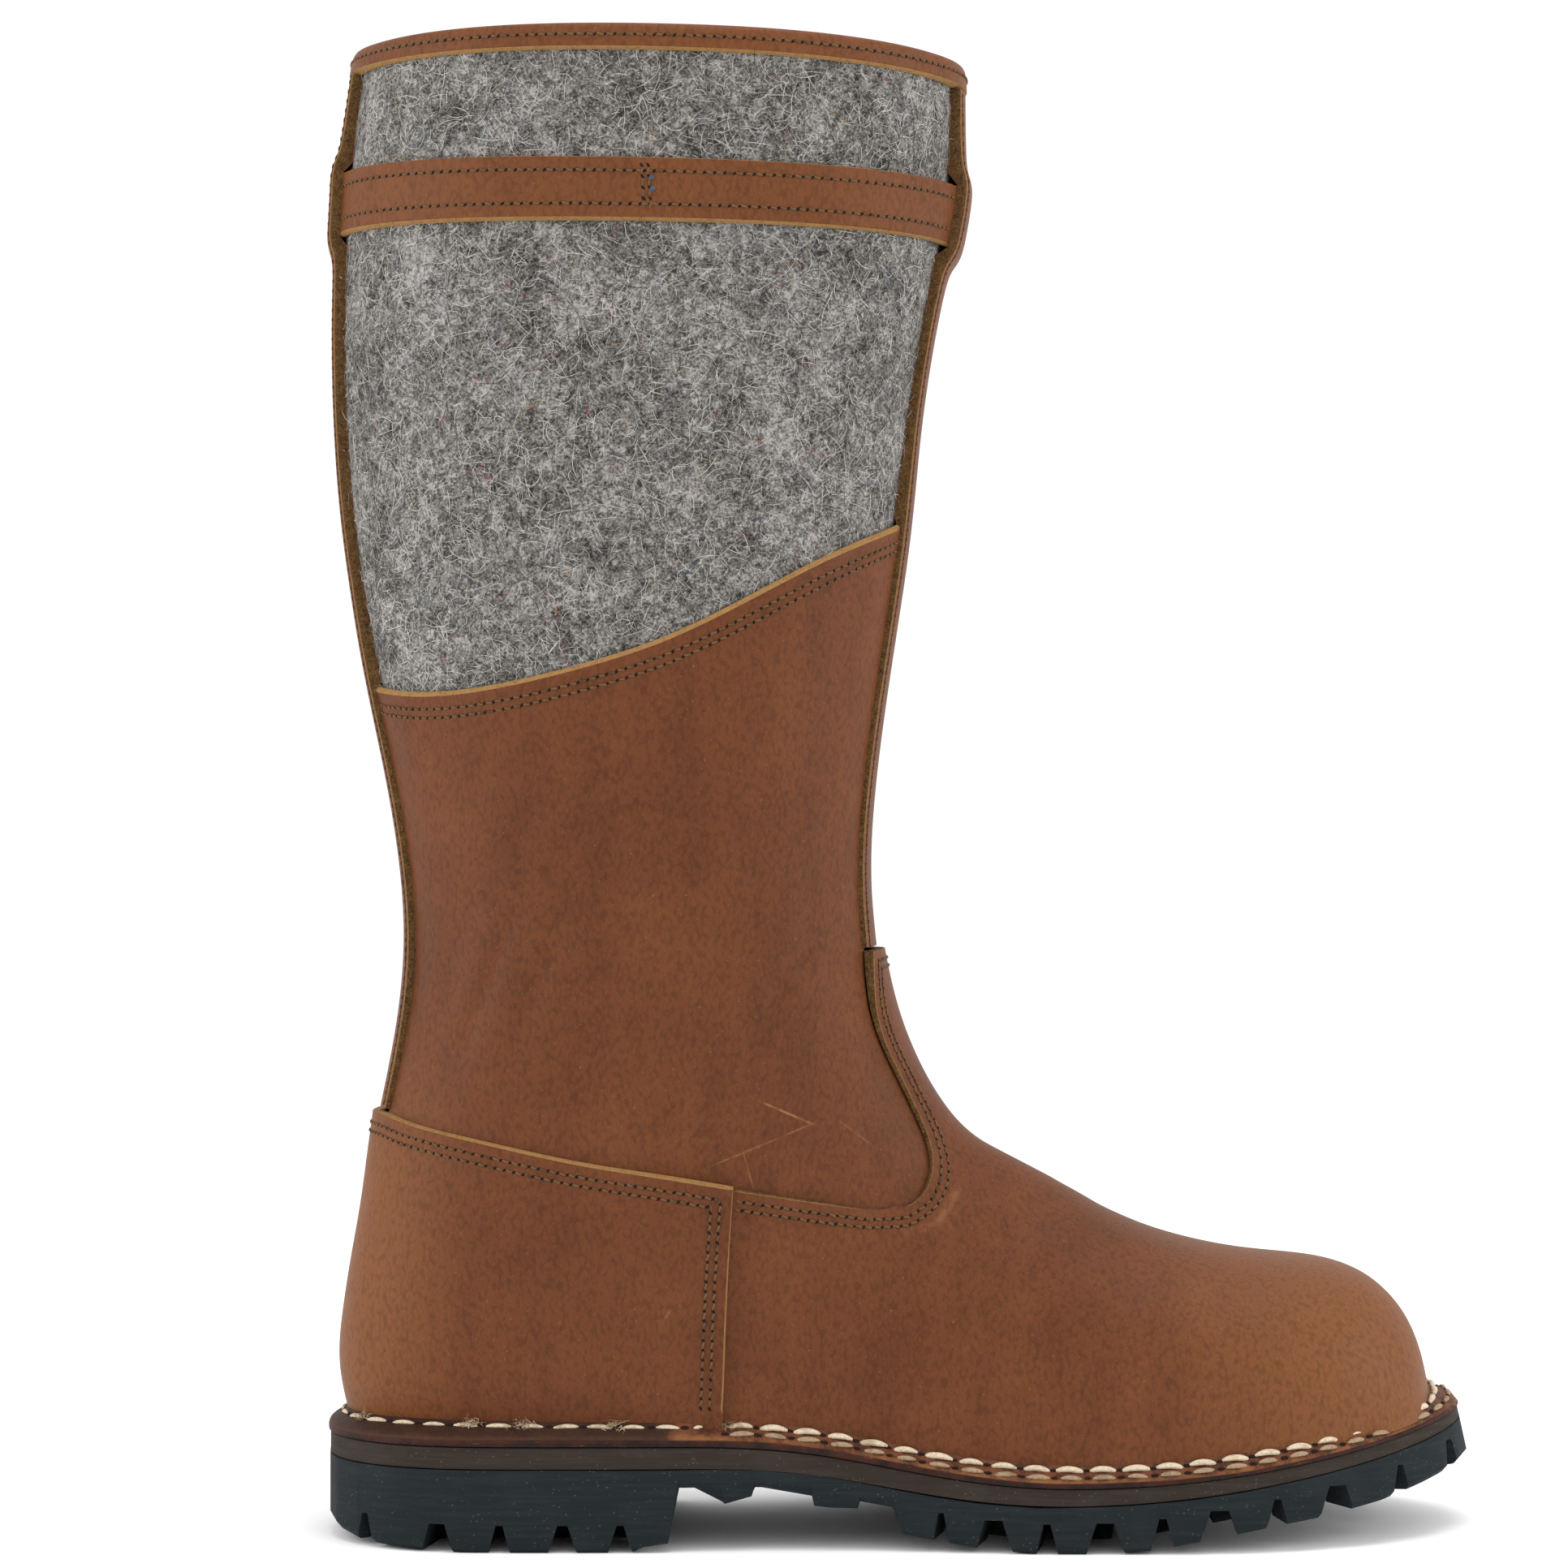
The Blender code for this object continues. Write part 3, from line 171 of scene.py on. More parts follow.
def placed(x: float, y: float, z: float) -> Vector:
    """A point of the drawing, in millimetres, as a point of the frame."""
    return Vector((x, y, z)) * MM + SHIFT


def drawn(points: Array) -> Array:
    """Points of the frame as points of the drawing, in millimetres."""
    return (points - np.array(SHIFT)) / MM


def points_outward(places: Array, directions: Array) -> Array:
    """Whether directions at places lead away from the inside of the boot.

    Args:
        places: Points of the frame, as rows.
        directions: A direction for each of them.

    Returns:
        True for each direction that leads out.
    """
    x, _, z = drawn(places).T
    along = np.clip(x, *FOOT_CORE_ENDS)
    turned = FOOT_TURN * np.maximum(along - FOOT_TURN_FROM, 0.0)
    shaft = np.stack([np.full(len(x), SHAFT_MIDDLE_X), np.zeros(len(x)), z], axis=1)
    foot = np.stack([along, turned, np.full(len(x), FOOT_CORE_Z)], axis=1)
    core = np.where((z > FOOT_TOP)[:, None], shaft, foot)
    return ((drawn(places) - core) * directions).sum(axis=1) > 0


class Value:
    """A number socket of a material, on which sums are written as Python."""

    def __init__(self, shader: "Shader", socket: Socket) -> None:
        """Keeps the socket and the shader that it belongs to."""
        self.shader = shader
        self.socket = socket

    def _sum(self, operation: str, first: Number, second: Number) -> "Value":
        """A Math node on two numbers."""
        node = self.shader.node("ShaderNodeMath", {"operation": operation}, {0: first, 1: second})
        return Value(self.shader, node.outputs[0])

    def __add__(self, other: Number) -> "Value":
        """Sum."""
        return self._sum("ADD", self, other)

    __radd__ = __add__

    def __sub__(self, other: Number) -> "Value":
        """Difference."""
        return self._sum("SUBTRACT", self, other)

    def __rsub__(self, other: Number) -> "Value":
        """Difference from a number in front."""
        return self._sum("SUBTRACT", other, self)

    def __mul__(self, other: Number) -> "Value":
        """Product."""
        return self._sum("MULTIPLY", self, other)

    __rmul__ = __mul__

    def __abs__(self) -> "Value":
        """Size without sign."""
        return self._sum("ABSOLUTE", self, 0.0)

    def between(self, low: float, high: float) -> "Value":
        """0 at low, 1 at high, with a smooth rise between them.

        Args:
            low: Value that gives 0. It may be the larger one.
            high: Value that gives 1.

        Returns:
            The eased number.
        """
        node = self.shader.node(
            "ShaderNodeMapRange",
            {"interpolation_type": "SMOOTHSTEP"},
            {"Value": self, "From Min": low, "From Max": high},
        )
        return Value(self.shader, node.outputs["Result"])


class Shader:
    """A material under construction, with short ways to add its nodes."""

    def __init__(self, name: str) -> None:
        """Makes an empty material with a Principled shader."""
        self.material = bpy.data.materials.new(name)
        self.material.use_nodes = True
        self.tree = self.material.node_tree
        self.surface = self.tree.nodes["Principled BSDF"]
        self.place = self.node("ShaderNodeTexCoord").outputs["Object"]

    def node(self, kind: str, settings: dict | None = None, inputs: dict | None = None) -> bpy.types.Node:
        """Adds a node.

        Args:
            kind: The node's type.
            settings: Its own settings, and "stops" for a ramp's (position, colour) list.
            inputs: A value or link for each named or numbered socket.

        Returns:
            The node.
        """
        node = self.tree.nodes.new(kind)
        for name, value in (settings or {}).items():
            if name == "stops":
                self._set_stops(node.color_ramp, value)
            else:
                setattr(node, name, value)
        for key, value in (inputs or {}).items():
            self._feed(node.inputs[key], value)
        return node

    def _feed(self, socket: Socket, value: object) -> None:
        """Sets a socket to a value, a colour or a link."""
        link = value.socket if isinstance(value, Value) else value
        if isinstance(link, Socket):
            self.tree.links.new(link, socket)
        else:
            socket.default_value = link

    @staticmethod
    def _set_stops(ramp: bpy.types.ColorRamp, stops: Sequence[tuple[float, Colour]]) -> None:
        """Fills a colour ramp."""
        while len(ramp.elements) < len(stops):
            ramp.elements.new(0.5)
        for element, (position, colour) in zip(ramp.elements, stops):
            element.position = position
            element.color = (*colour, 1.0)

    def turned(self, angles: Colour, scale: Colour) -> Socket:
        """Object coordinates turned and then stretched, for patterns with a direction."""
        node = self.node("ShaderNodeMapping", {}, {"Vector": self.place, "Rotation": angles, "Scale": scale})
        return node.outputs["Vector"]

    def noise(
        self,
        scale: float,
        detail: float = 3.0,
        roughness: float = 0.55,
        place: Socket | None = None,
    ) -> Value:
        """A noise field of about 0 to 1, with scale in features a metre."""
        inputs = {"Vector": place or self.place, "Scale": scale, "Detail": detail, "Roughness": roughness}
        return Value(self, self.node("ShaderNodeTexNoise", {}, inputs).outputs["Fac"])

    def cells(
        self, scale: float, feature: str = "SMOOTH_F1", place: Socket | None = None
    ) -> Value:
        """Distance field of random cells."""
        inputs = {"Vector": place or self.place, "Scale": scale}
        node = self.node("ShaderNodeTexVoronoi", {"feature": feature}, inputs)
        return Value(self, node.outputs["Distance"])

    def axis(self, name: str) -> Value:
        """One of the object coordinates, in metres."""
        return Value(self, self.node("ShaderNodeSeparateXYZ", {}, {0: self.place}).outputs[name])

    def attribute(self, name: str, output: str = "Fac") -> Socket:
        """An attribute of the mesh."""
        return self.node("ShaderNodeAttribute", {"attribute_name": name}).outputs[output]

    def mix(self, share: Number, first: object, second: object) -> Socket:
        """A blend of two colours or colour links."""
        ends = [(*c, 1.0) if isinstance(c, tuple) else c for c in (first, second)]
        inputs = dict(zip(MIX_INPUTS, (share, *ends)))
        return self.node("ShaderNodeMix", {"data_type": "RGBA"}, inputs).outputs[MIX_OUTPUT]

    def ramp(self, value: Value, stops: Sequence[tuple[float, Colour]]) -> Socket:
        """Colours along a number."""
        return self.node("ShaderNodeValToRGB", {"stops": stops}, {0: value}).outputs["Color"]

    def bump(self, height: Value, depth: float, strength: float = 1.0) -> Socket:
        """A bumped normal from a height of 0 to 1 and its depth in metres."""
        inputs = {"Height": height, "Distance": depth, "Strength": strength}
        return self.node("ShaderNodeBump", {}, inputs).outputs["Normal"]

    def finish(
        self, colour: object, roughness: Number, normal: Socket | None = None, **fixed: float
    ) -> Material:
        """Connects the surface.

        Args:
            colour: Base colour or its link.
            roughness: Roughness or its link.
            normal: Link of a bumped normal.
            fixed: Other sockets that are the same all over, with _ for a space.

        Returns:
            The finished material.
        """
        colour = (*colour, 1.0) if isinstance(colour, tuple) else colour
        values = {"Base Color": colour, "Roughness": roughness, "Normal": normal}
        values.update({name.replace("_", " "): value for name, value in fixed.items()})
        for name, value in values.items():
            if value is not None:
                self._feed(self.surface.inputs[name], value)
        return self.material


@dataclass(frozen=True)
class Finish:
    """A finish of one surface: its name, main colour and roughness."""

    name: str
    colour: Colour
    roughness: float

    def material(self) -> Material:
        """The finish's material, made once."""
        return bpy.data.materials.get(self.name) or self.paint(Shader(self.name))

    def paint(self, shader: Shader) -> Material:
        """Lays the finish on a new shader."""
        return shader.finish(self.colour, self.roughness)


@dataclass(frozen=True)
class Scuff:
    """A pale rubbed line on the inner side, from start to end in the side view, in millimetres."""

    start: Point2
    end: Point2
    width: float
    strength: float

    def mask(self, shader: Shader, rough: Value) -> Value:
        """How much of the line shows at a place.

        Args:
            shader: The shader to add nodes to.
            rough: A noise that breaks the line up.

        Returns:
            0 off the line, up to strength on it.
        """
        a, b = placed(self.start[0], 0, self.start[1]), placed(self.end[0], 0, self.end[1])
        along = (b - a).normalized()
        x, z = shader.axis("X") - a.x, shader.axis("Z") - a.z
        run = x * along.x + z * along.z
        away = abs(z * along.x - x * along.z)
        length = (b - a).length
        line = away.between(self.width * MM, 0.0)
        ends = run.between(0.0, 0.25 * length) * run.between(length, 0.7 * length)
        inner = shader.axis("Y").between(0.0, -0.004)
        return line * ends * inner * rough.between(0.30, 0.60) * self.strength


@dataclass(frozen=True)
class LeatherFinish(Finish):
    """Oiled brown leather with a fine slanting grain, soft streaks, painted highlights at toe and heel, a
    paler band round the collar and rubbed lines.
    """

    dark: Colour
    light: Colour
    # The pale colour below serves the pale flecks of the grain and the painted highlight at toe and heel.
    pale_and_lit: Colour
    worn: Colour
    scuffs: tuple[Scuff, ...] = ()

    def paint(self, shader: Shader) -> Material:
        """Lays the leather on a new shader."""
        cloud = shader.noise(24.0, 3.0)
        mottle = shader.noise(170.0, 4.0, 0.6)
        streak = shader.noise(75.0, 3.0, 0.5, shader.turned((0.0, -0.45, 0.0), (1.0, 0.6, 0.16)))
        slant = shader.turned((0.0, 0.65, 0.0), (1.0, 1.0, 0.6))
        grain = shader.cells(1000.0, place=slant)
        pores = shader.noise(2100.0, 2.0, 0.6, slant)
        tone = cloud * 0.40 + mottle * 0.26 + streak * 0.34
        colour = shader.mix(tone.between(0.38, 0.53), self.dark, self.colour)
        colour = shader.mix(tone.between(0.49, 0.64), colour, self.light)
        # Painted highlight: toe and low heel painted paler where the lamps fall, and a paler band round the
        # collar
        colour = shader.mix(self.highlighted_ends(shader), colour, self.pale_and_lit)
        colour = shader.mix(grain.between(0.30, 0.75) * 0.24, colour, BLACK)
        colour = shader.mix(pores.between(0.52, 0.34) * 0.12, colour, BLACK)
        colour = shader.mix(pores.between(0.54, 0.70) * 0.14, colour, self.pale_and_lit)
        for scuff in self.scuffs:
            colour = shader.mix(scuff.mask(shader, shader.noise(260.0, 2.0)), colour, self.worn)
        dust = shader.noise(1300.0, 1.0).between(0.72, 0.80)
        colour = shader.mix(dust * 0.30, colour, self.worn)
        height = 0.55 - grain * 0.5 + pores * 0.45
        roughness = self.roughness + (tone - 0.5) * 0.3
        return shader.finish(colour, roughness, shader.bump(height, 0.00022, 0.8), Specular_IOR_Level=0.13)

    @staticmethod
    def highlighted_ends(shader: Shader) -> Value:
        """How far the leather is painted paler: a painted highlight at the toe and low on the heel, where the
        lamps fall, and a paler band round the collar.
        """
        x, z = shader.axis("X"), shader.axis("Z")
        toe = x.between(0.050, 0.118) * z.between(0.110, 0.075)
        heel = x.between(-0.108, -0.146) * z.between(0.128, 0.096)
        return (toe + heel) * 0.85 + z.between(0.28, 0.34) * 0.35


@dataclass(frozen=True)
class CutEdgeFinish(Finish):
    """The cut edge of the leather: pale where it was trimmed, dark and fibrous in its depth."""

    deep: Colour
    depth: float

    def paint(self, shader: Shader) -> Material:
        """Lays the edge on a new shader."""
        fibre = shader.noise(1700.0, 3.0, 0.75)
        clump = shader.noise(420.0, 3.0, 0.6)
        share = (fibre * 0.7 + clump * 0.3 - 0.5) * 2.6 + self.depth
        colour = shader.mix(share.between(0.0, 1.0), self.colour, self.deep)
        return shader.finish(colour, self.roughness, shader.bump(fibre, 0.0004), Specular_IOR_Level=0.15)


@dataclass(frozen=True)
class FeltFinish(Finish):
    """Heather wool felt: grey fibres from nearly white to nearly black, matted together."""

    dark: Colour
    light: Colour

    def paint(self, shader: Shader) -> Material:
        """Lays the felt on a new shader."""
        blotch = shader.noise(75.0, 3.0, 0.55)
        tuft = shader.noise(420.0, 3.0, 0.65)
        hair = shader.noise(1500.0, 2.0, 0.7)
        warm = shader.noise(900.0, 2.0, 0.6)
        tone = blotch * 0.21 + tuft * 0.35 + hair * 0.44
        colour = shader.ramp(tone, ((0.40, self.dark), (0.50, self.colour), (0.60, self.light)))
        colour = shader.mix(warm.between(0.60, 0.74) * 0.22, colour, Tint.OCHRE.value)
        height = tuft * 0.55 + hair * 0.45
        bump = shader.bump(height, 0.0011, 0.9)
        return shader.finish(colour, self.roughness, bump, Specular_IOR_Level=0.1, Sheen_Weight=0.08)


@dataclass(frozen=True)
class FibreFinish(Finish):
    """Loose wool fibres, each with a colour of its own."""

    def paint(self, shader: Shader) -> Material:
        """Lays the fibres' colours on a new shader."""
        return shader.finish(shader.attribute("tint", "Color"), self.roughness, Specular_IOR_Level=0.1)


@dataclass(frozen=True)
class ThreadFinish(Finish):
    """Sewing thread with its twist, painted shade in the twist's grooves, and soiled here and there."""

    # The soil colour serves real dirt on the thread and the painted shade in its grooves.
    soil: Colour
    twist_scale: float

    def paint(self, shader: Shader) -> Material:
        """Lays the thread on a new shader."""
        twist = shader.noise(self.twist_scale, 3.0, 0.7)
        soil = shader.noise(260.0, 3.0).between(0.50, 0.72)
        colour = shader.mix(soil * 0.75, self.colour, self.soil)
        # Painted shade: the twist's grooves, low in the bump, are painted darker
        colour = shader.mix(twist.between(0.52, 0.34) * 0.5, colour, self.soil)
        return shader.finish(colour, self.roughness, shader.bump(twist, 0.0004), Specular_IOR_Level=0.2)


@dataclass(frozen=True)
class RubberFinish(Finish):
    """Ground rubber edge: fine lengthwise scratches, pale dust and tiny specks."""

    scratch: Colour
    speck: Colour

    def paint(self, shader: Shader) -> Material:
        """Lays the rubber on a new shader."""
        ground = shader.noise(420.0, 3.0, 0.7, shader.turned((0.0, 0.0, 0.0), (0.12, 0.12, 2.4)))
        patch = shader.noise(45.0, 3.0)
        specks = shader.cells(800.0, "F1").between(0.22, 0.08) * shader.noise(240.0, 2.0).between(0.42, 0.60)
        colour = shader.mix(ground.between(0.42, 0.70) * 0.40, self.colour, self.scratch)
        colour = shader.mix(patch.between(0.5, 0.7) * 0.3, colour, self.scratch)
        colour = shader.mix(specks * 0.5, colour, self.speck)
        height = ground * 0.35 + shader.noise(1100.0, 3.0, 0.65) * 0.65
        bump = shader.bump(height, 0.0003, 0.8)
        return shader.finish(colour, self.roughness, bump, Specular_IOR_Level=0.12)


@dataclass(frozen=True)
class WeltFinish(Finish):
    """Stained welt leather: nearly black at the side, rubbed red-brown and orange at its upper edge."""

    red: Colour
    rubbed: Colour

    def paint(self, shader: Shader) -> Material:
        """Lays the welt on a new shader."""
        rise = Value(shader, shader.attribute("rise"))
        patch = shader.noise(110.0, 4.0, 0.7)
        fibre = shader.noise(900.0, 3.0, 0.7, shader.turned((0.0, 0.0, 0.0), (0.3, 0.3, 1.5)))
        colour = shader.mix((patch + rise * 0.25).between(0.45, 0.75), self.colour, self.red)
        worn = (rise + (patch - 0.5) * 1.3 + (fibre - 0.5) * 0.5).between(0.72, 1.15)
        colour = shader.mix(worn, colour, self.rubbed)
        colour = shader.mix(fibre.between(0.62, 0.74) * 0.4, colour, self.rubbed)
        height = fibre * 0.6 + patch * 0.4
        return shader.finish(colour, self.roughness, shader.bump(height, 0.0007), Specular_IOR_Level=0.14)


@dataclass(frozen=True)
class FlangeFinish(Finish):
    """The turned-out leather, dark in the fold, rubbed orange at its edge and stained round the heel."""

    dark: Colour
    worn: Colour
    stained: Colour

    def paint(self, shader: Shader) -> Material:
        """Lays the flange on a new shader."""
        rise = Value(shader, shader.attribute("rise"))
        patch = shader.noise(150.0, 4.0, 0.7)
        fibre = shader.noise(1100.0, 3.0, 0.7)
        colour = shader.mix((patch + (fibre - 0.5) * 0.6).between(0.35, 0.65), self.dark, self.colour)
        worn = (0.36 - rise + (patch - 0.5) * 0.7).between(0.0, 0.3)
        colour = shader.mix(worn * 0.8, colour, self.worn)
        heel = (shader.axis("X") + (patch - 0.5) * 0.03).between(-0.052, -0.066)
        colour = shader.mix(heel * 0.85, colour, self.stained)
        bump = shader.bump(fibre * 0.5 + patch * 0.5, 0.0005)
        return shader.finish(colour, self.roughness, bump, Specular_IOR_Level=0.14)


@dataclass(frozen=True)
class PlainFinish(Finish):
    """A quiet surface with a little variation, for lining, painted shade and floor."""

    other: Colour
    scale: float

    def paint(self, shader: Shader) -> Material:
        """Lays the surface on a new shader."""
        field = shader.noise(self.scale, 4.0, 0.6)
        colour = shader.mix(field.between(0.35, 0.65), self.colour, self.other)
        height = shader.noise(self.scale * 8, 2.0)
        return shader.finish(colour, self.roughness, shader.bump(height, 0.0003), Specular_IOR_Level=0.2)


LEATHER = LeatherFinish(
    "brown leather",
    colour=(0.120, 0.0375, 0.0124),
    roughness=0.52,
    dark=(0.101, 0.0312, 0.0102),
    light=(0.139, 0.0445, 0.0148),
    pale_and_lit=(0.182, 0.0660, 0.0218),
    worn=(0.34, 0.17, 0.075),
    scuffs=(
        Scuff((-40.5, 119.0), (-20.0, 109.5), 0.50, 0.60),
        Scuff((-52.0, 99.5), (-19.0, 112.5), 0.40, 0.38),
        Scuff((-41.6, 106.0), (-38.0, 93.0), 0.35, 0.32),
        Scuff((-18.0, 113.0), (-5.0, 103.0), 0.35, 0.22),
        Scuff((0.0, 81.5), (10.0, 84.0), 1.6, 0.16),
        Scuff((9.0, 82.5), (17.0, 94.0), 1.8, 0.20),
        Scuff((-62.0, 60.0), (-58.0, 66.0), 0.5, 0.4),
    ),
)
TRIMMED_EDGE = CutEdgeFinish(
    "trimmed leather edge", (0.31, 0.170, 0.060), 0.85, deep=(0.13, 0.060, 0.019), depth=0.24
)
SUEDE_EDGE = CutEdgeFinish(
    "fibrous leather edge", (0.17, 0.088, 0.030), 0.95, deep=(0.032, 0.016, 0.007), depth=0.50
)
# Painted shade: the felt under the leather, so that the gaps between panels read as dark shade
UNDERLAY_SHADE = PlainFinish("shade under leather", (0.045, 0.022, 0.012), 0.9, other=(0.07, 0.034, 0.018), scale=200.0)
FELT = FeltFinish(
    "heather felt", (0.130, 0.122, 0.112), 0.95, dark=(0.022, 0.0205, 0.019), light=(0.36, 0.345, 0.322)
)
LINING = PlainFinish("felt lining", (0.17, 0.155, 0.14), 0.95, other=(0.23, 0.215, 0.195), scale=240.0)
FIBRE = FibreFinish("wool fibre", (0.5, 0.5, 0.5), 0.9)
SEAM_THREAD = ThreadFinish(
    "brown thread", (0.160, 0.086, 0.036), 0.7, soil=(0.040, 0.020, 0.010), twist_scale=3000.0
)
WELT_THREAD = ThreadFinish(
    "cream thread", (0.62, 0.52, 0.38), 0.75, soil=(0.30, 0.20, 0.115), twist_scale=1500.0
)
SOILED_THREAD = ThreadFinish(
    "beige thread", (0.33, 0.235, 0.145), 0.8, soil=(0.12, 0.062, 0.030), twist_scale=1500.0
)
KNOT_THREAD = ThreadFinish(
    "grey thread knot", (0.070, 0.092, 0.135), 0.7, soil=(0.02, 0.02, 0.03), twist_scale=2500.0
)
# Painted shade: nearly black grains for the shade inside the holes the needle made
NEEDLE_HOLE_SHADE = PlainFinish(
    "needle hole shade", (0.010, 0.0055, 0.003), 0.95, other=(0.018, 0.009, 0.005), scale=900.0
)
OUTSOLE_RUBBER = RubberFinish(
    "blue-black rubber",
    (0.0090, 0.0125, 0.0145),
    0.7,
    scratch=(0.021, 0.026, 0.028),
    speck=(0.10, 0.115, 0.115),
)
MIDSOLE_RUBBER = RubberFinish(
    "taupe rubber", (0.026, 0.0195, 0.015), 0.75, scratch=(0.048, 0.037, 0.030), speck=(0.15, 0.13, 0.11)
)
WELT_LEATHER = WeltFinish(
    "stained welt", (0.0125, 0.0070, 0.0055), 0.6, red=(0.042, 0.0125, 0.0075), rubbed=(0.19, 0.070, 0.020)
)
FLANGE = FlangeFinish(
    "turned-out leather",
    (0.128, 0.042, 0.0170),
    0.6,
    dark=(0.052, 0.0175, 0.0085),
    worn=(0.22, 0.085, 0.026),
    stained=(0.026, 0.0115, 0.0075),
)
INSOLE_LEATHER = PlainFinish(
    "insole leather", (0.33, 0.21, 0.12), 0.75, other=(0.27, 0.165, 0.09), scale=60.0
)
FLOOR_PAINT = PlainFinish("pale floor", (0.955, 0.955, 0.955), 0.9, other=(0.95, 0.95, 0.95), scale=3.0)


def take_up(piece: Piece) -> None:
    """Makes a piece the only selected and the active object."""
    bpy.ops.object.select_all(action="DESELECT")
    piece.select_set(True)
    bpy.context.view_layer.objects.active = piece


def apply_all(piece: Piece) -> None:
    """Applies a piece's modifiers in order."""
    take_up(piece)
    for modifier in list(piece.modifiers):
        bpy.ops.object.modifier_apply(modifier=modifier.name)


def mesh_piece(name: str, points: Array, faces: Sequence[Sequence[int]]) -> Piece:
    """An object at the origin from points in metres and faces."""
    mesh = bpy.data.meshes.new(name)
    mesh.from_pydata([tuple(p) for p in points.tolist()], [], faces)
    piece = bpy.data.objects.new(name, mesh)
    bpy.context.scene.collection.objects.link(piece)
    return piece


def settle(piece: Piece, slot: Slot, *nodes: str) -> Piece:
    """Ties a finished piece to the frame and reports it.

    Args:
        piece: The finished piece.
        slot: The record's material slot that it belongs to. It is not used.
        nodes: CAD nodes that it stands for.

    Returns:
        The piece.
    """
    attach(piece, BODY)
    if nodes:
        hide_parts(*nodes)
    triangles = sum(len(face.vertices) - 2 for face in piece.data.polygons)
    log.info("%s: %d triangles", piece.name, triangles)
    return piece


@contextmanager
def editing(piece: Piece, selection: str | None = "SELECT") -> Iterator[None]:
    """Edit mode on a piece's edges, all selected, none with DESELECT, or as they are with None."""
    take_up(piece)
    bpy.ops.object.mode_set(mode="EDIT")
    bpy.ops.mesh.select_mode(type="EDGE")
    if selection:
        bpy.ops.mesh.select_all(action=selection)
    yield
    bpy.ops.object.mode_set(mode="OBJECT")


def merged_copy(name: str, node: str) -> Piece:
    """A copy of a CAD node with its loose triangles merged back into a grid of quads."""
    piece = bpy.data.objects.new(name, frame["nodes"][node].data.copy())
    bpy.context.scene.collection.objects.link(piece)
    piece.data.materials.clear()
    with editing(piece):
        bpy.ops.mesh.customdata_custom_splitnormals_clear()
        bpy.ops.mesh.remove_doubles(threshold=MERGE_DISTANCE * MM)
    mend_folds(piece)
    fold, skew = (math.radians(angle) for angle in QUAD_ANGLES)
    with editing(piece):
        bpy.ops.mesh.tris_convert_to_quads(face_threshold=fold, shape_threshold=skew)
    return piece


def faces_beside(faces: Iterable[Face]) -> dict[Edge, list[Face]]:
    """The faces on each edge."""
    found: dict[Edge, list[Face]] = {}
    for face in faces:
        for key in face.edge_keys:
            found.setdefault(key, []).append(face)
    return found


def neighbours(edges: Iterable[Edge]) -> dict[int, list[int]]:
    """The points next to each point along some edges."""
    found: dict[int, list[int]] = {}
    for a, b in edges:
        found.setdefault(a, []).append(b)
        found.setdefault(b, []).append(a)
    return found


def walk(after: dict[int, list[int]], start: int, seen: set[int]) -> list[int]:
    """The points that follow one another from a point.

    Args:
        after: The points next to each point.
        start: Where the walk begins.
        seen: Points that aren't gone to again. The walk adds its own.

    Returns:
        The points in order.
    """
    chain = [start]
    seen.add(start)
    while following := [v for v in after[chain[-1]] if v not in seen]:
        chain.append(following[0])
        seen.add(following[0])
    return chain


def mend_folds(piece: Piece, least_height: float = 0.12, folded_back: float = -0.3) -> None:
    """Turns the long edge of each sliver that is folded back over its neighbour, so that both lie flat.

    Args:
        piece: A piece made of triangles.
        least_height: A triangle lower than this share of its longest edge is a sliver.
        folded_back: The normals' product under which two faces are folded over one another.
    """
    mesh = piece.data
    beside = faces_beside(mesh.polygons)
    folded = set()
    for face in mesh.polygons:
        lengths = {(a, b): (mesh.vertices[a].co - mesh.vertices[b].co).length for a, b in face.edge_keys}
        longest = max(lengths, key=lengths.get)
        sliver = 2 * face.area < least_height * lengths[longest] ** 2
        pair = beside[longest]
        if sliver and len(pair) == 2 and pair[0].normal.dot(pair[1].normal) < folded_back:
            folded.add(longest)
    for parts in (mesh.vertices, mesh.polygons):
        parts.foreach_set("select", np.zeros(len(parts), bool))
    mesh.edges.foreach_set("select", [edge.key in folded for edge in mesh.edges])
    if folded:
        with editing(piece, None):
            bpy.ops.mesh.edge_rotate(use_ccw=False)


def sharpen(piece: Piece, angle: float) -> None:
    """Creases the edges that bend by more than an angle, in degrees, so that subdivision keeps them."""
    with editing(piece, "DESELECT"):
        bpy.ops.mesh.edges_select_sharp(sharpness=math.radians(angle))
        bpy.ops.transform.edge_crease(value=1.0)


def smooth_out(piece: Piece, levels: int) -> None:
    """Subdivides a piece and applies it."""
    modifier = piece.modifiers.new("smooth", "SUBSURF")
    modifier.levels = levels
    modifier.render_levels = levels
    apply_all(piece)


def round_edges(piece: Piece, width: float, angle: float) -> None:
    """Bevels the edges that bend by more than an angle, in degrees, by a width in millimetres."""
    modifier = piece.modifiers.new("rounded edges", "BEVEL")
    modifier.width = width * MM
    modifier.segments = 2
    modifier.limit_method = "ANGLE"
    modifier.angle_limit = math.radians(angle)
    apply_all(piece)


def shade(piece: Piece, angle: float) -> None:
    """Shades a piece smooth apart from edges sharper than an angle, in degrees."""
    take_up(piece)
    bpy.ops.object.shade_smooth_by_angle(angle=math.radians(angle))


def rows_of(values: bpy.types.bpy_prop_collection, field: str) -> Array:
    """A vector of each of a mesh's points or faces, as an array of rows."""
    rows = np.empty(len(values) * 3)
    values.foreach_get(field, rows)
    return rows.reshape(-1, 3)


def coordinates(piece: Piece) -> Array:
    """A piece's points."""
    return rows_of(piece.data.vertices, "co")


def normals(piece: Piece) -> Array:
    """A piece's normals at its points."""
    return rows_of(piece.data.vertex_normals, "vector")


def move_points(piece: Piece, points: Array) -> None:
    """Puts a piece's points at new places."""
    piece.data.vertices.foreach_set("co", points.reshape(-1))
    piece.data.update()


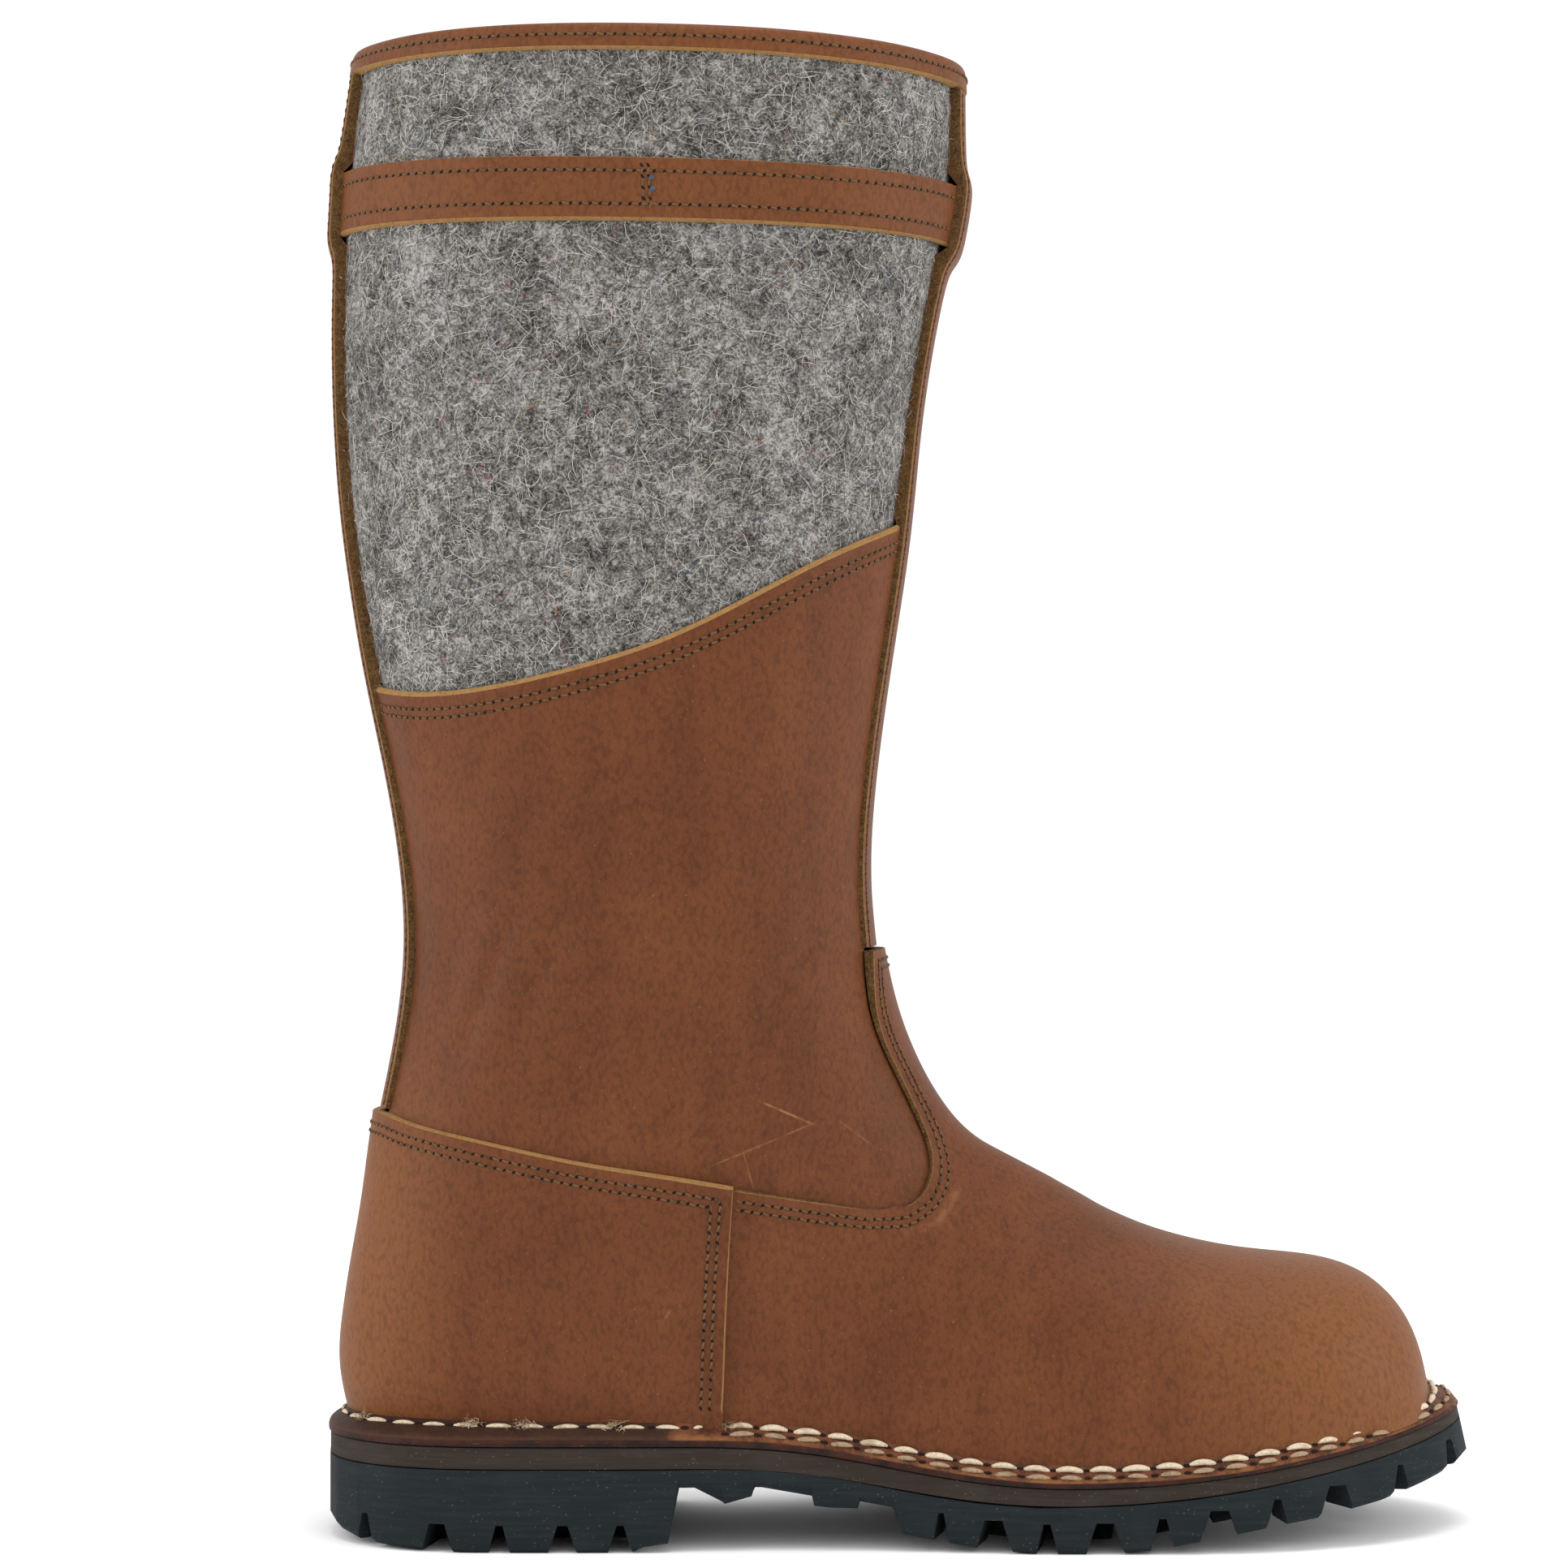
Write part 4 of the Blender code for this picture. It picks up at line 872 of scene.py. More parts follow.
def paint_walls(piece: Piece, angle: float = 40.0) -> None:
    """Gives a leather piece's cut edges their material: the faces between two opposite sharp edges."""
    limit = math.cos(math.radians(angle))
    beside = faces_beside(piece.data.polygons)
    sharp = {
        key
        for key, pair in beside.items()
        if len(pair) == 2 and pair[0].normal.dot(pair[1].normal) < limit
    }
    for face in piece.data.polygons:
        bent = [set(key) for key in face.edge_keys if key in sharp]
        opposite = any(not a & b for a in bent for b in bent)
        face.material_index = WALL if opposite else SKIN


class Surface:
    """The finished faces of some pieces, for placing things on them."""

    def __init__(self, *pieces: Piece, outside: bool = False) -> None:
        """Collects the pieces' faces.

        Args:
            pieces: The pieces.
            outside: Whether to leave out cut edges and faces that look into the boot.
        """
        points, faces = [], []
        for piece in pieces:
            start, polygons = len(points), piece.data.polygons
            points += [vertex.co.copy() for vertex in piece.data.vertices]
            kept = np.ones(len(polygons), bool)
            if outside:
                kept = points_outward(rows_of(polygons, "center"), rows_of(polygons, "normal"))
                kept &= np.array([face.material_index == SKIN for face in polygons])
            faces += [tuple(start + v for v in face.vertices) for face in polygons if kept[face.index]]
        self.tree = BVHTree.FromPolygons(points, faces)

    def cast(self, start: Vector, towards: Vector) -> Hit | None:
        """First place and normal on a ray, or None."""
        place, normal, _, _ = self.tree.ray_cast(start, towards)
        return (place, normal) if place else None

    def nearest(self, point: Vector) -> Hit:
        """Nearest place and its normal."""
        place, normal, _, _ = self.tree.find_nearest(point)
        return place, normal


def travelled(points: Array) -> Array:
    """How far along a line each of its points lies."""
    return np.concatenate([[0], np.cumsum(np.linalg.norm(np.diff(points, axis=0), axis=1))])


def along_line(rows: Array, travel: Array, at: float | Array) -> Array:
    """A line's rows interpolated at one or more distances along it."""
    return np.stack([np.interp(at, travel, column) for column in rows.T], axis=-1)


def unit(vector: Array) -> Array:
    """A vector with the length 1."""
    return vector / max(np.linalg.norm(vector), 1e-9)


def averaged(values: Array, count: int, ends: str) -> Array:
    """A running mean over count values, with the ends continued in one of np.pad's ways."""
    return np.convolve(np.pad(values, count // 2, ends), np.ones(count) / count, "valid")


def closed_curve(points: Array, step: float) -> Array:
    """A smooth closed curve.

    Args:
        points: Points that it runs through.
        step: Distance between the returned points.

    Returns:
        The curve's points, with the first one not repeated.
    """
    knots = np.concatenate([points[-1:], points, points[:2]])
    fine = []
    for a, b, c, d in zip(knots, knots[1:], knots[2:], knots[3:]):
        for t in np.linspace(0, 1, 12, endpoint=False):
            place = 2 * b + (c - a) * t
            place = place + (2 * a - 5 * b + 4 * c - d) * t**2
            place = place + (3 * b - a - 3 * c + d) * t**3
            fine.append(0.5 * place)
    line = np.array([*fine, knots[-2]])
    travel = travelled(line)
    count = max(int(travel[-1] / step), 1)
    return along_line(line, travel, np.linspace(0, travel[-1], count + 1))[:-1]


@dataclass(frozen=True)
class Stitch:
    """One stitch of a row: its sizes in millimetres and how it is meshed."""

    pitch: float
    length: float
    width: float
    rise: float
    around: int = 6
    along: int = 5
    tilt: float = 0.0
    flat: float = 0.8
    bluntness: float = 2.6
    tip: float = 0.16
    dip: float = 1.6

    def template(self) -> tuple[Array, list[tuple[int, ...]]]:
        """A rounded grain along X with Z up, in metres, and its faces."""
        points = []
        for i in range(self.along):
            t = -1 + 2 * i / (self.along - 1)
            thick = self.width / 2 * max(1 - abs(t) ** self.bluntness, self.tip) ** 0.5
            lift = self.rise * (1 - self.dip * t * t)
            for k in range(self.around):
                turn = 2 * math.pi * k / self.around
                height = lift + self.flat * thick * math.sin(turn)
                points.append((t * self.length / 2, thick * math.cos(turn), height))
        faces: list[tuple[int, ...]] = []
        for i in range(self.along - 1):
            for k in range(self.around):
                a, b = i * self.around + k, i * self.around + (k + 1) % self.around
                faces.append((a, a + self.around, b + self.around, b))
        faces.append(tuple(range(self.around)))
        faces.append(tuple(reversed(range((self.along - 1) * self.around, self.along * self.around))))
        return np.array(points) * MM, faces


class Thread:
    """Stitches gathered from many rows into one mesh."""

    direction_share = 0.35
    turn_spread = 0.05
    size_spread = 0.06

    def __init__(self, name: str, finish: Finish, slot: Slot, seed: int) -> None:
        """Starts an empty thread."""
        self.name = name
        self.finish = finish
        self.slot = slot
        self.random = np.random.default_rng(seed)
        self.points: list[Array] = []
        self.faces: list[tuple[int, ...]] = []
        self.count = 0

    def sew(self, stitch: Stitch, rows: Array, phase: float = 0.5) -> None:
        """Sews a row.

        Args:
            stitch: The stitch to repeat.
            rows: The row's points in metres, close together, each followed by the normal there.
            phase: Where in its pitch each stitch lies, from 0 to 1.
        """
        if len(rows) < 2:
            return
        travel = travelled(rows[:, :3])
        count = max(int(travel[-1] / (stitch.pitch * MM)), 1)
        template, faces = stitch.template()
        half = self.direction_share * stitch.length * MM
        for i in range(count):
            middle = (i + phase) * travel[-1] / count
            back, here, ahead = (along_line(rows, travel, middle + s * half) for s in (-1, 0, 1))
            out = unit(here[3:])
            along = ahead[:3] - back[:3]
            along = unit(along - out * along.dot(out))
            across = np.cross(out, along)
            turn = stitch.tilt + self.random.normal(0, self.turn_spread)
            size = 1 + self.random.normal(0, self.size_spread)
            cos, sin = math.cos(turn), math.sin(turn)
            axes = np.stack([(along * cos + across * sin) * size, (across * cos - along * sin) * size, out])
            self.points.append(here[:3] + template @ axes)
            self.faces += [tuple(v + self.count for v in face) for face in faces]
            self.count += len(template)

    def build(self) -> Piece:
        """The thread as one piece."""
        piece = mesh_piece(self.name, np.concatenate(self.points), self.faces)
        piece.data.materials.append(self.finish.material())
        shade(piece, 60.0)
        return settle(piece, self.slot)


@dataclass(frozen=True)
class Crease:
    """A soft trough in the leather between two points of the side view, in millimetres."""

    start: Point2
    end: Point2
    width: float
    depth: float
    ridge: float = 0.35
    ridge_width: float = 2.2

    def depth_at(self, points: Array) -> Array:
        """How deep the trough is at each (x, z) in metres, with a low ridge beside it."""
        a, b = (np.array(placed(x, 0, z))[[0, 2]] for x, z in (self.start, self.end))
        length = np.linalg.norm(b - a)
        along = (b - a) / length
        arm = points - a
        run = np.clip(arm @ along / length, 0, 1)
        away = np.linalg.norm(arm - np.outer(run * length, along), axis=1) / (self.width * MM)
        fade = np.sin(np.pi * np.clip(run, 0.04, 0.96)) ** 0.6
        trough = (1 + self.ridge) * np.exp(-(away**2))
        return self.depth * MM * fade * (trough - self.ridge * np.exp(-((away / self.ridge_width) ** 2)))


CREASES = (
    Crease((-98.0, 172.0), (-118.0, 121.0), 2.6, 0.55),
    Crease((-80.0, 184.0), (-103.0, 125.0), 3.0, 0.60),
    Crease((-70.0, 193.0), (-87.0, 155.0), 2.6, 0.40),
    Crease((-112.0, 168.0), (-126.0, 127.0), 2.4, 0.50),
    Crease((-90.0, 204.0), (-102.0, 178.0), 2.4, 0.30),
    Crease((-28.0, 155.0), (-42.0, 119.0), 2.4, 0.55),
    Crease((-22.0, 174.0), (-26.0, 146.0), 2.2, 0.50),
    Crease((-54.0, 150.0), (-66.0, 118.0), 3.2, 0.35),
    Crease((16.0, 108.0), (2.0, 84.0), 5.0, 0.45),
    Crease((40.0, 94.0), (26.0, 70.0), 6.0, 0.40),
    Crease((66.0, 80.0), (54.0, 58.0), 6.0, 0.30),
)


@dataclass
class Rim:
    """A run of a panel's visible edge: its points and the way into the panel at each."""

    points: Array
    inward: Array


@dataclass
class EdgeMap:
    """A panel's outer edge and what lies near it.

    ids are the edge's points, with their places, the way into the panel and the way out. which and away
    say for each point of the panel which of them is nearest and how far it is.
    """

    ids: list[int]
    places: Array
    into: Array
    out: Array
    which: Array
    away: Array


def nearest_places(points: Array, places: Array) -> tuple[Array, Array]:
    """For each point, which of some places is nearest and how far it is."""
    tree = KDTree(len(places))
    for i, place in enumerate(places):
        tree.insert(Vector(place), i)
    tree.balance()
    hits = [tree.find(p) for p in points]
    return np.array([hit[1] for hit in hits]), np.array([hit[2] for hit in hits])


Chooser = Callable[[Vector, Vector], bool]


@dataclass(frozen=True)
class Panel:
    """How one leather piece is cut and edged, with lengths in millimetres.

    shown picks the edges that are seen and sewn by a place in the drawing and the way into the panel,
    and tucked picks those that slip under a neighbour. upper_cut and lower_cut say how far the trimmed
    edge slopes back where it faces up and down, corner is the pale share of a fibrous edge, reach is how
    far the edge's inner side is drawn down on to what lies under it, and even is over how many points the
    way into the panel is averaged for its seams.
    """

    node: str
    creased: bool
    edge: CutEdgeFinish
    upper_cut: float
    lower_cut: float
    shown: Chooser
    tucked: Chooser
    corner: float = 0.0
    reach: float = 0.0
    even: int = 1


def felt_edge(x: float) -> float:
    """Height of the leather's upper edge at x, both in the drawing's millimetres."""
    line = np.array(FELT_LINE)
    return float(np.interp(x, line[:, 0], line[:, 1]))


def nowhere(place: Vector, into: Vector) -> bool:
    """Picks no edge."""
    return False


def everywhere(place: Vector, into: Vector) -> bool:
    """Picks each edge."""
    return True


def on_felt_line(place: Vector, into: Vector) -> bool:
    """Picks a quarter's upper edge."""
    return into.z < -0.5 and place.z > felt_edge(place.x) - 7.0


def off_felt_line(place: Vector, into: Vector) -> bool:
    """Picks a quarter's other edges, under strips, vamp and counter."""
    return not on_felt_line(place, into)


def above_hem(place: Vector, into: Vector) -> bool:
    """Picks the counter's edges that aren't sewn to the sole."""
    return place.z > 36.5


def round_instep(place: Vector, into: Vector) -> bool:
    """Picks the vamp's edge round the instep, its wings and its tip."""
    return place.z > 84.0 and (place.x > -38.0 or into.x < 0.6)


def under_counter(place: Vector, into: Vector) -> bool:
    """Picks the vamp's back edges."""
    return place.z > 34.5 and place.x < -36.0 and not round_instep(place, into)


def along_strip(place: Vector, into: Vector) -> bool:
    """Picks the long edges of a strip."""
    return abs(into.y) > 0.5


def beside_strips(place: Vector, into: Vector) -> bool:
    """Picks the strap's long edges where no strip covers them."""
    return abs(into.z) > 0.5 and abs(place.y) > STRIP_HALF_WIDTH


class LeatherWork:
    """The brown leather pieces of the upper, with their cut edges."""

    levels = 3
    sharp_angle = 40.0
    fold_angle = 80.0
    fold_down = -0.8
    edge_fade = 4.0
    crease_fade = 10.0
    deepest_crease = 1.1
    cover_start = 0.3
    cover_reach = 15.0
    least_thickness = 0.4
    reach_from = 0.55
    reach_share = 0.95
    shortest_run = 12
    tuck_out = 2.2
    tuck_in = 0.35
    panels = (
        Panel("quarter_inner", True, TRIMMED_EDGE, 1.15, 0.5, on_felt_line, off_felt_line),
        Panel("quarter_outer", True, TRIMMED_EDGE, 1.15, 0.5, on_felt_line, off_felt_line),
        Panel("vamp", True, SUEDE_EDGE, 0.5, 0.5, round_instep, under_counter, 0.16, even=15),
        Panel("counter", False, TRIMMED_EDGE, 0.7, 0.6, above_hem, nowhere),
        Panel("strap", False, TRIMMED_EDGE, 0.3, 0.85, beside_strips, nowhere),
        Panel("front_strip", False, SUEDE_EDGE, 0.4, 0.4, along_strip, nowhere, 0.14, 4.5),
        Panel("back_strip", False, SUEDE_EDGE, 0.4, 0.4, along_strip, nowhere, 0.14, 4.5),
        Panel("collar_binding", False, TRIMMED_EDGE, 0.5, 0.75, everywhere, nowhere),
    )

    def __init__(self, felt: Piece) -> None:
        """Starts with no pieces.

        Args:
            felt: The felt shell that the leather lies on.
        """
        self.felt = felt
        self.pieces: dict[str, Piece] = {}
        self.rims: dict[str, list[Rim]] = {}

    def build(self) -> None:
        """All the leather pieces and their visible edges, by the name of their CAD node."""
        for panel in self.panels:
            self.cut(panel)

    def cut(self, panel: Panel) -> Piece:
        """One leather piece from its CAD node.

        Args:
            panel: How it is cut.

        Returns:
            The finished piece.
        """
        piece = merged_copy(f"{panel.node}_leather", panel.node)
        for finish in (LEATHER, panel.edge, TRIMMED_EDGE):
            piece.data.materials.append(finish.material())
        if panel.node == "collar_binding":
            for face in piece.data.polygons:
                face.material_index = WALL if face.normal.z < self.fold_down else SKIN
            sharpen(piece, self.fold_angle)
        else:
            paint_walls(piece)
            sharpen(piece, self.sharp_angle)
        smooth_out(piece, self.levels)
        if panel.creased:
            self.press_creases(piece)
        edges = self.outer_edges(piece)
        self.slip_under(piece, edges, panel)
        self.slope_edge(piece, edges, panel)
        if panel.reach:
            self.reach_down(piece, edges, panel)
        self.rims[panel.node] = self.runs(piece, edges, panel)
        shade(piece, 55.0)
        self.pieces[panel.node] = piece
        return settle(piece, Slot.LEATHER, panel.node)

    def press_creases(self, piece: Piece) -> None:
        """Moves the points into the creases, along their normals and less near the panel's edges."""
        points, outs = coordinates(piece), normals(piece)
        depth = np.zeros(len(points))
        for crease in CREASES:
            depth += crease.depth_at(points[:, [0, 2]])
        depth = np.clip(depth, -self.deepest_crease * MM, self.deepest_crease * MM)
        aside = np.clip(np.abs(outs[:, 1]) * 1.4, 0, 1)
        _, away = nearest_places(points, points[self.wall_points(piece)])
        aside *= np.clip(away / (self.crease_fade * MM), 0, 1)
        move_points(piece, points - outs * (depth * aside * points_outward(points, outs))[:, None])

    def outer_edges(self, piece: Piece) -> dict[Edge, Hit]:
        """The edges between a panel's outside and its walls.

        Args:
            piece: The panel, with its walls' material set.

        Returns:
            For each edge, the way into the panel and the way out from its surface.
        """
        mesh = piece.data
        whole = Surface(piece)
        skin = {key for face in mesh.polygons if face.material_index != WALL for key in face.edge_keys}
        walls = [face for face in mesh.polygons if face.material_index == WALL]
        found = {}
        for wall, key in ((wall, key) for wall in walls for key in wall.edge_keys if key in skin):
            a, b = (mesh.vertices[v].co for v in key)
            along = (b - a).normalized()
            out = (a + b) / 2 - wall.center
            out -= along * out.dot(along)
            out.normalize()
            if not points_outward(np.array([wall.center]), np.array([out]))[0]:
                continue
            cover = whole.cast((a + b) / 2 + out * self.cover_start * MM, out)
            if cover is None or (cover[0] - a).length > self.cover_reach * MM:
                found[key] = (-wall.normal, out)
        return found

    @staticmethod
    def ends(piece: Piece, edges: dict[Edge, Hit], pick: Chooser) -> dict[int, Hit]:
        """The points on the picked edges, each with the way into the panel and the normal.

        Args:
            piece: The panel.
            edges: Its outer edges.
            pick: Which edges are wanted.

        Returns:
            A pair of unit directions for each point.
        """
        found: dict[int, Hit] = {}
        for key, (into, out) in edges.items():
            for v in key:
                place = (piece.data.vertices[v].co - SHIFT) / MM
                if pick(place, into):
                    old = found.get(v, (Vector(), Vector()))
                    found[v] = (old[0] + into, old[1] + out)
        return {v: (into.normalized(), out.normalized()) for v, (into, out) in found.items()}

    def edge_map(self, piece: Piece, edges: dict[Edge, Hit]) -> EdgeMap:
        """A panel's outer edge as it lies now."""
        ends = self.ends(piece, edges, everywhere)
        places = np.array([piece.data.vertices[v].co for v in ends])
        into, out = (np.array([pair[k] for pair in ends.values()]) for k in (0, 1))
        return EdgeMap(list(ends), places, into, out, *nearest_places(coordinates(piece), places))

    def slip_under(self, piece: Piece, edges: dict[Edge, Hit], panel: Panel) -> None:
        """Lengthens a panel where its edge lies under a neighbour, so that no gap shows."""
        edge = self.edge_map(piece, edges)
        picked = np.isin(edge.ids, list(self.ends(piece, edges, panel.tucked)))
        picked &= ~np.isin(edge.ids, list(self.ends(piece, edges, panel.shown)))
        fade = self.edge_fade * MM
        share = np.clip(1 - edge.away / fade, 0, 1) ** 2
        share[self.wall_points(piece)] = 1.0
        share[(edge.away > fade) | ~picked[edge.which]] = 0.0
        way = edge.into[edge.which] * self.tuck_out + edge.out[edge.which] * self.tuck_in
        move_points(piece, coordinates(piece) - way * (share * MM)[:, None])

    @staticmethod
    def wall_points(piece: Piece) -> Array:
        """Which points lie on a panel's walls."""
        found = np.zeros(len(piece.data.vertices), bool)
        for face in piece.data.polygons:
            if face.material_index == WALL:
                found[list(face.vertices)] = True
        return found

    def slope_edge(self, piece: Piece, edges: dict[Edge, Hit], panel: Panel) -> None:
        """Slopes a panel's visible walls back from its inner to its outer side, with a rounded corner."""
        edge = self.edge_map(piece, edges)
        picked = np.isin(edge.ids, list(self.ends(piece, edges, panel.shown)))
        cut = panel.lower_cut + (panel.upper_cut - panel.lower_cut) * (1 - edge.into[:, 2]) / 2
        depth = self.depth_shares(piece, edge)
        fade = self.edge_fade * MM
        skin = np.clip(1 - edge.away / fade, 0, 1) ** 2
        skin[depth > 0.5] = 0.0
        walls = self.wall_points(piece) & (edge.away < fade)
        share = np.where(walls, (1 - depth) ** 1.5, skin) * picked[edge.which]
        way = edge.into[edge.which] * (cut[edge.which] * share * MM)[:, None]
        move_points(piece, coordinates(piece) + way)
        for face in piece.data.polygons:
            if face.material_index == WALL and depth[list(face.vertices)].mean() < panel.corner:
                face.material_index = CORNER

    def depth_shares(self, piece: Piece, edge: EdgeMap) -> Array:
        """How deep under the outer edge each point lies.

        Args:
            piece: The panel.
            edge: Its outer edge.

        Returns:
            Shares of the leather's thickness there, from 0 on the outside to 1 on the inside.
        """
        deep = ((edge.places[edge.which] - coordinates(piece)) * edge.out[edge.which]).sum(axis=1)
        walls = self.wall_points(piece) & (edge.away < self.edge_fade * MM)
        thick = np.zeros(len(edge.places))
        np.maximum.at(thick, edge.which[walls], deep[walls])
        return np.clip(deep / np.maximum(thick[edge.which], self.least_thickness * MM), 0, 1)

    def reach_down(self, piece: Piece, edges: dict[Edge, Hit], panel: Panel) -> None:
        """Draws the inner side of an edge down on to what lies under it, so that no gap shows beside it."""
        depth = self.depth_shares(piece, self.edge_map(piece, edges))
        points = coordinates(piece)
        under = (self.pieces[node] for node in ("strap", "quarter_inner", "quarter_outer"))
        ground = Surface(self.felt, *under)
        for i in np.nonzero(self.wall_points(piece) & (depth > self.reach_from))[0]:
            start = Vector(points[i])
            way = ground.nearest(start)[0] - start
            if way.length < panel.reach * MM:
                points[i] += np.array(way) * self.reach_share
        move_points(piece, points)

    def runs(self, piece: Piece, edges: dict[Edge, Hit], panel: Panel) -> list[Rim]:
        """The visible edges joined up into runs.

        Args:
            piece: The panel's piece.
            edges: Its outer edges.
            panel: How it is cut.

        Returns:
            The runs, the closed ones with their first point repeated.
        """
        ends = self.ends(piece, edges, panel.shown)
        after = neighbours((a, b) for a, b in edges if a in ends and b in ends)
        seen: set[int] = set()
        found = []
        for start in sorted(after, key=lambda v: (len(after[v]) != 1, v)):
            if start in seen:
                continue
            chain = walk(after, start, seen)
            if len(chain) > 2 and chain[0] in after[chain[-1]]:
                chain.append(chain[0])
            if len(chain) > self.shortest_run:
                places = np.array([piece.data.vertices[v].co for v in chain])
                into = np.array([ends[v][0] for v in chain])
                into = np.stack([averaged(column, panel.even, "edge") for column in into.T], axis=1)
                into /= np.linalg.norm(into, axis=1)[:, None]
                found.append(Rim(places, into))
        return found


@dataclass(frozen=True)
class FibreKind:
    """How loose fibres vary: ranges of their sizes in millimetres, and the spread of bend and lift."""

    length: Point2
    width: Point2
    height: Point2
    bend: float
    lift: float

    def draw(self, random: np.random.Generator, count: int) -> dict[str, Array]:
        """Sizes of some fibres in metres, with their bend in radians and their lift as a slope."""
        ranges = {"length": self.length, "width": self.width, "height": self.height}
        drawn_sizes = {name: random.uniform(*ends, count) * MM for name, ends in ranges.items()}
        bend = random.normal(0, self.bend, count)
        return {**drawn_sizes, "bend": bend, "lift": np.abs(random.normal(0, self.lift, count))}


class Fibres:
    """Loose fibres gathered into one mesh of narrow bent strips."""

    segments = 3
    arch = 1.3
    taper = 0.6

    def __init__(self, name: str, slot: Slot) -> None:
        """Starts with no fibres."""
        self.name = name
        self.slot = slot
        self.points: list[Array] = []
        self.tints: list[Array] = []
        self.count = 0

    def add(
        self,
        roots: Array,
        outs: Array,
        ways: Array,
        shape: dict[str, Array],
        tints: Array,
    ) -> None:
        """Adds fibres, each bent in the surface round its middle.

        Args:
            roots: The middle of each fibre.
            outs: The surface normal there.
            ways: Its direction in the surface.
            shape: Its sizes, as a FibreKind draws them.
            tints: Its colour.
        """
        size = self.segments + 1
        across = np.cross(outs, ways)
        strips = np.empty((len(roots), size, 2, 3))
        for i in range(size):
            t = i / self.segments
            turn = (shape["bend"] * (t - 0.5))[:, None]
            way = ways * np.cos(turn) + across * np.sin(turn)
            side = across * np.cos(turn) - ways * np.sin(turn)
            rise = shape["height"] + shape["length"] * shape["lift"] * t * (self.arch - t)
            middle = roots + way * (shape["length"] * (t - 0.5))[:, None] + outs * rise[:, None]
            half = side * (shape["width"] / 2 * (1 - self.taper * abs(2 * t - 1)))[:, None]
            strips[:, i, 0], strips[:, i, 1] = middle - half, middle + half
        self.points.append(strips.reshape(-1, 3))
        self.tints.append(np.repeat(tints, size * 2, axis=0))
        self.count += len(roots)

    def build(self) -> Piece:
        """The fibres as one piece."""
        faces = []
        for fibre in range(self.count):
            for i in range(self.segments):
                a = 2 * (fibre * (self.segments + 1) + i)
                faces.append((a, a + 1, a + 3, a + 2))
        piece = mesh_piece(self.name, np.concatenate(self.points), faces)
        tint = piece.data.color_attributes.new("tint", "FLOAT_COLOR", "POINT")
        colours = np.concatenate(self.tints)
        colours = np.concatenate([colours, np.ones((len(colours), 1))], axis=1)
        tint.data.foreach_set("color", colours.reshape(-1))
        piece.data.materials.append(FIBRE.material())
        return settle(piece, self.slot)


def directions_across(random: np.random.Generator, outs: Array) -> Array:
    """A random unit direction at right angles to each normal."""
    ways = np.cross(outs, random.normal(size=outs.shape))
    return ways / np.linalg.norm(ways, axis=1)[:, None]


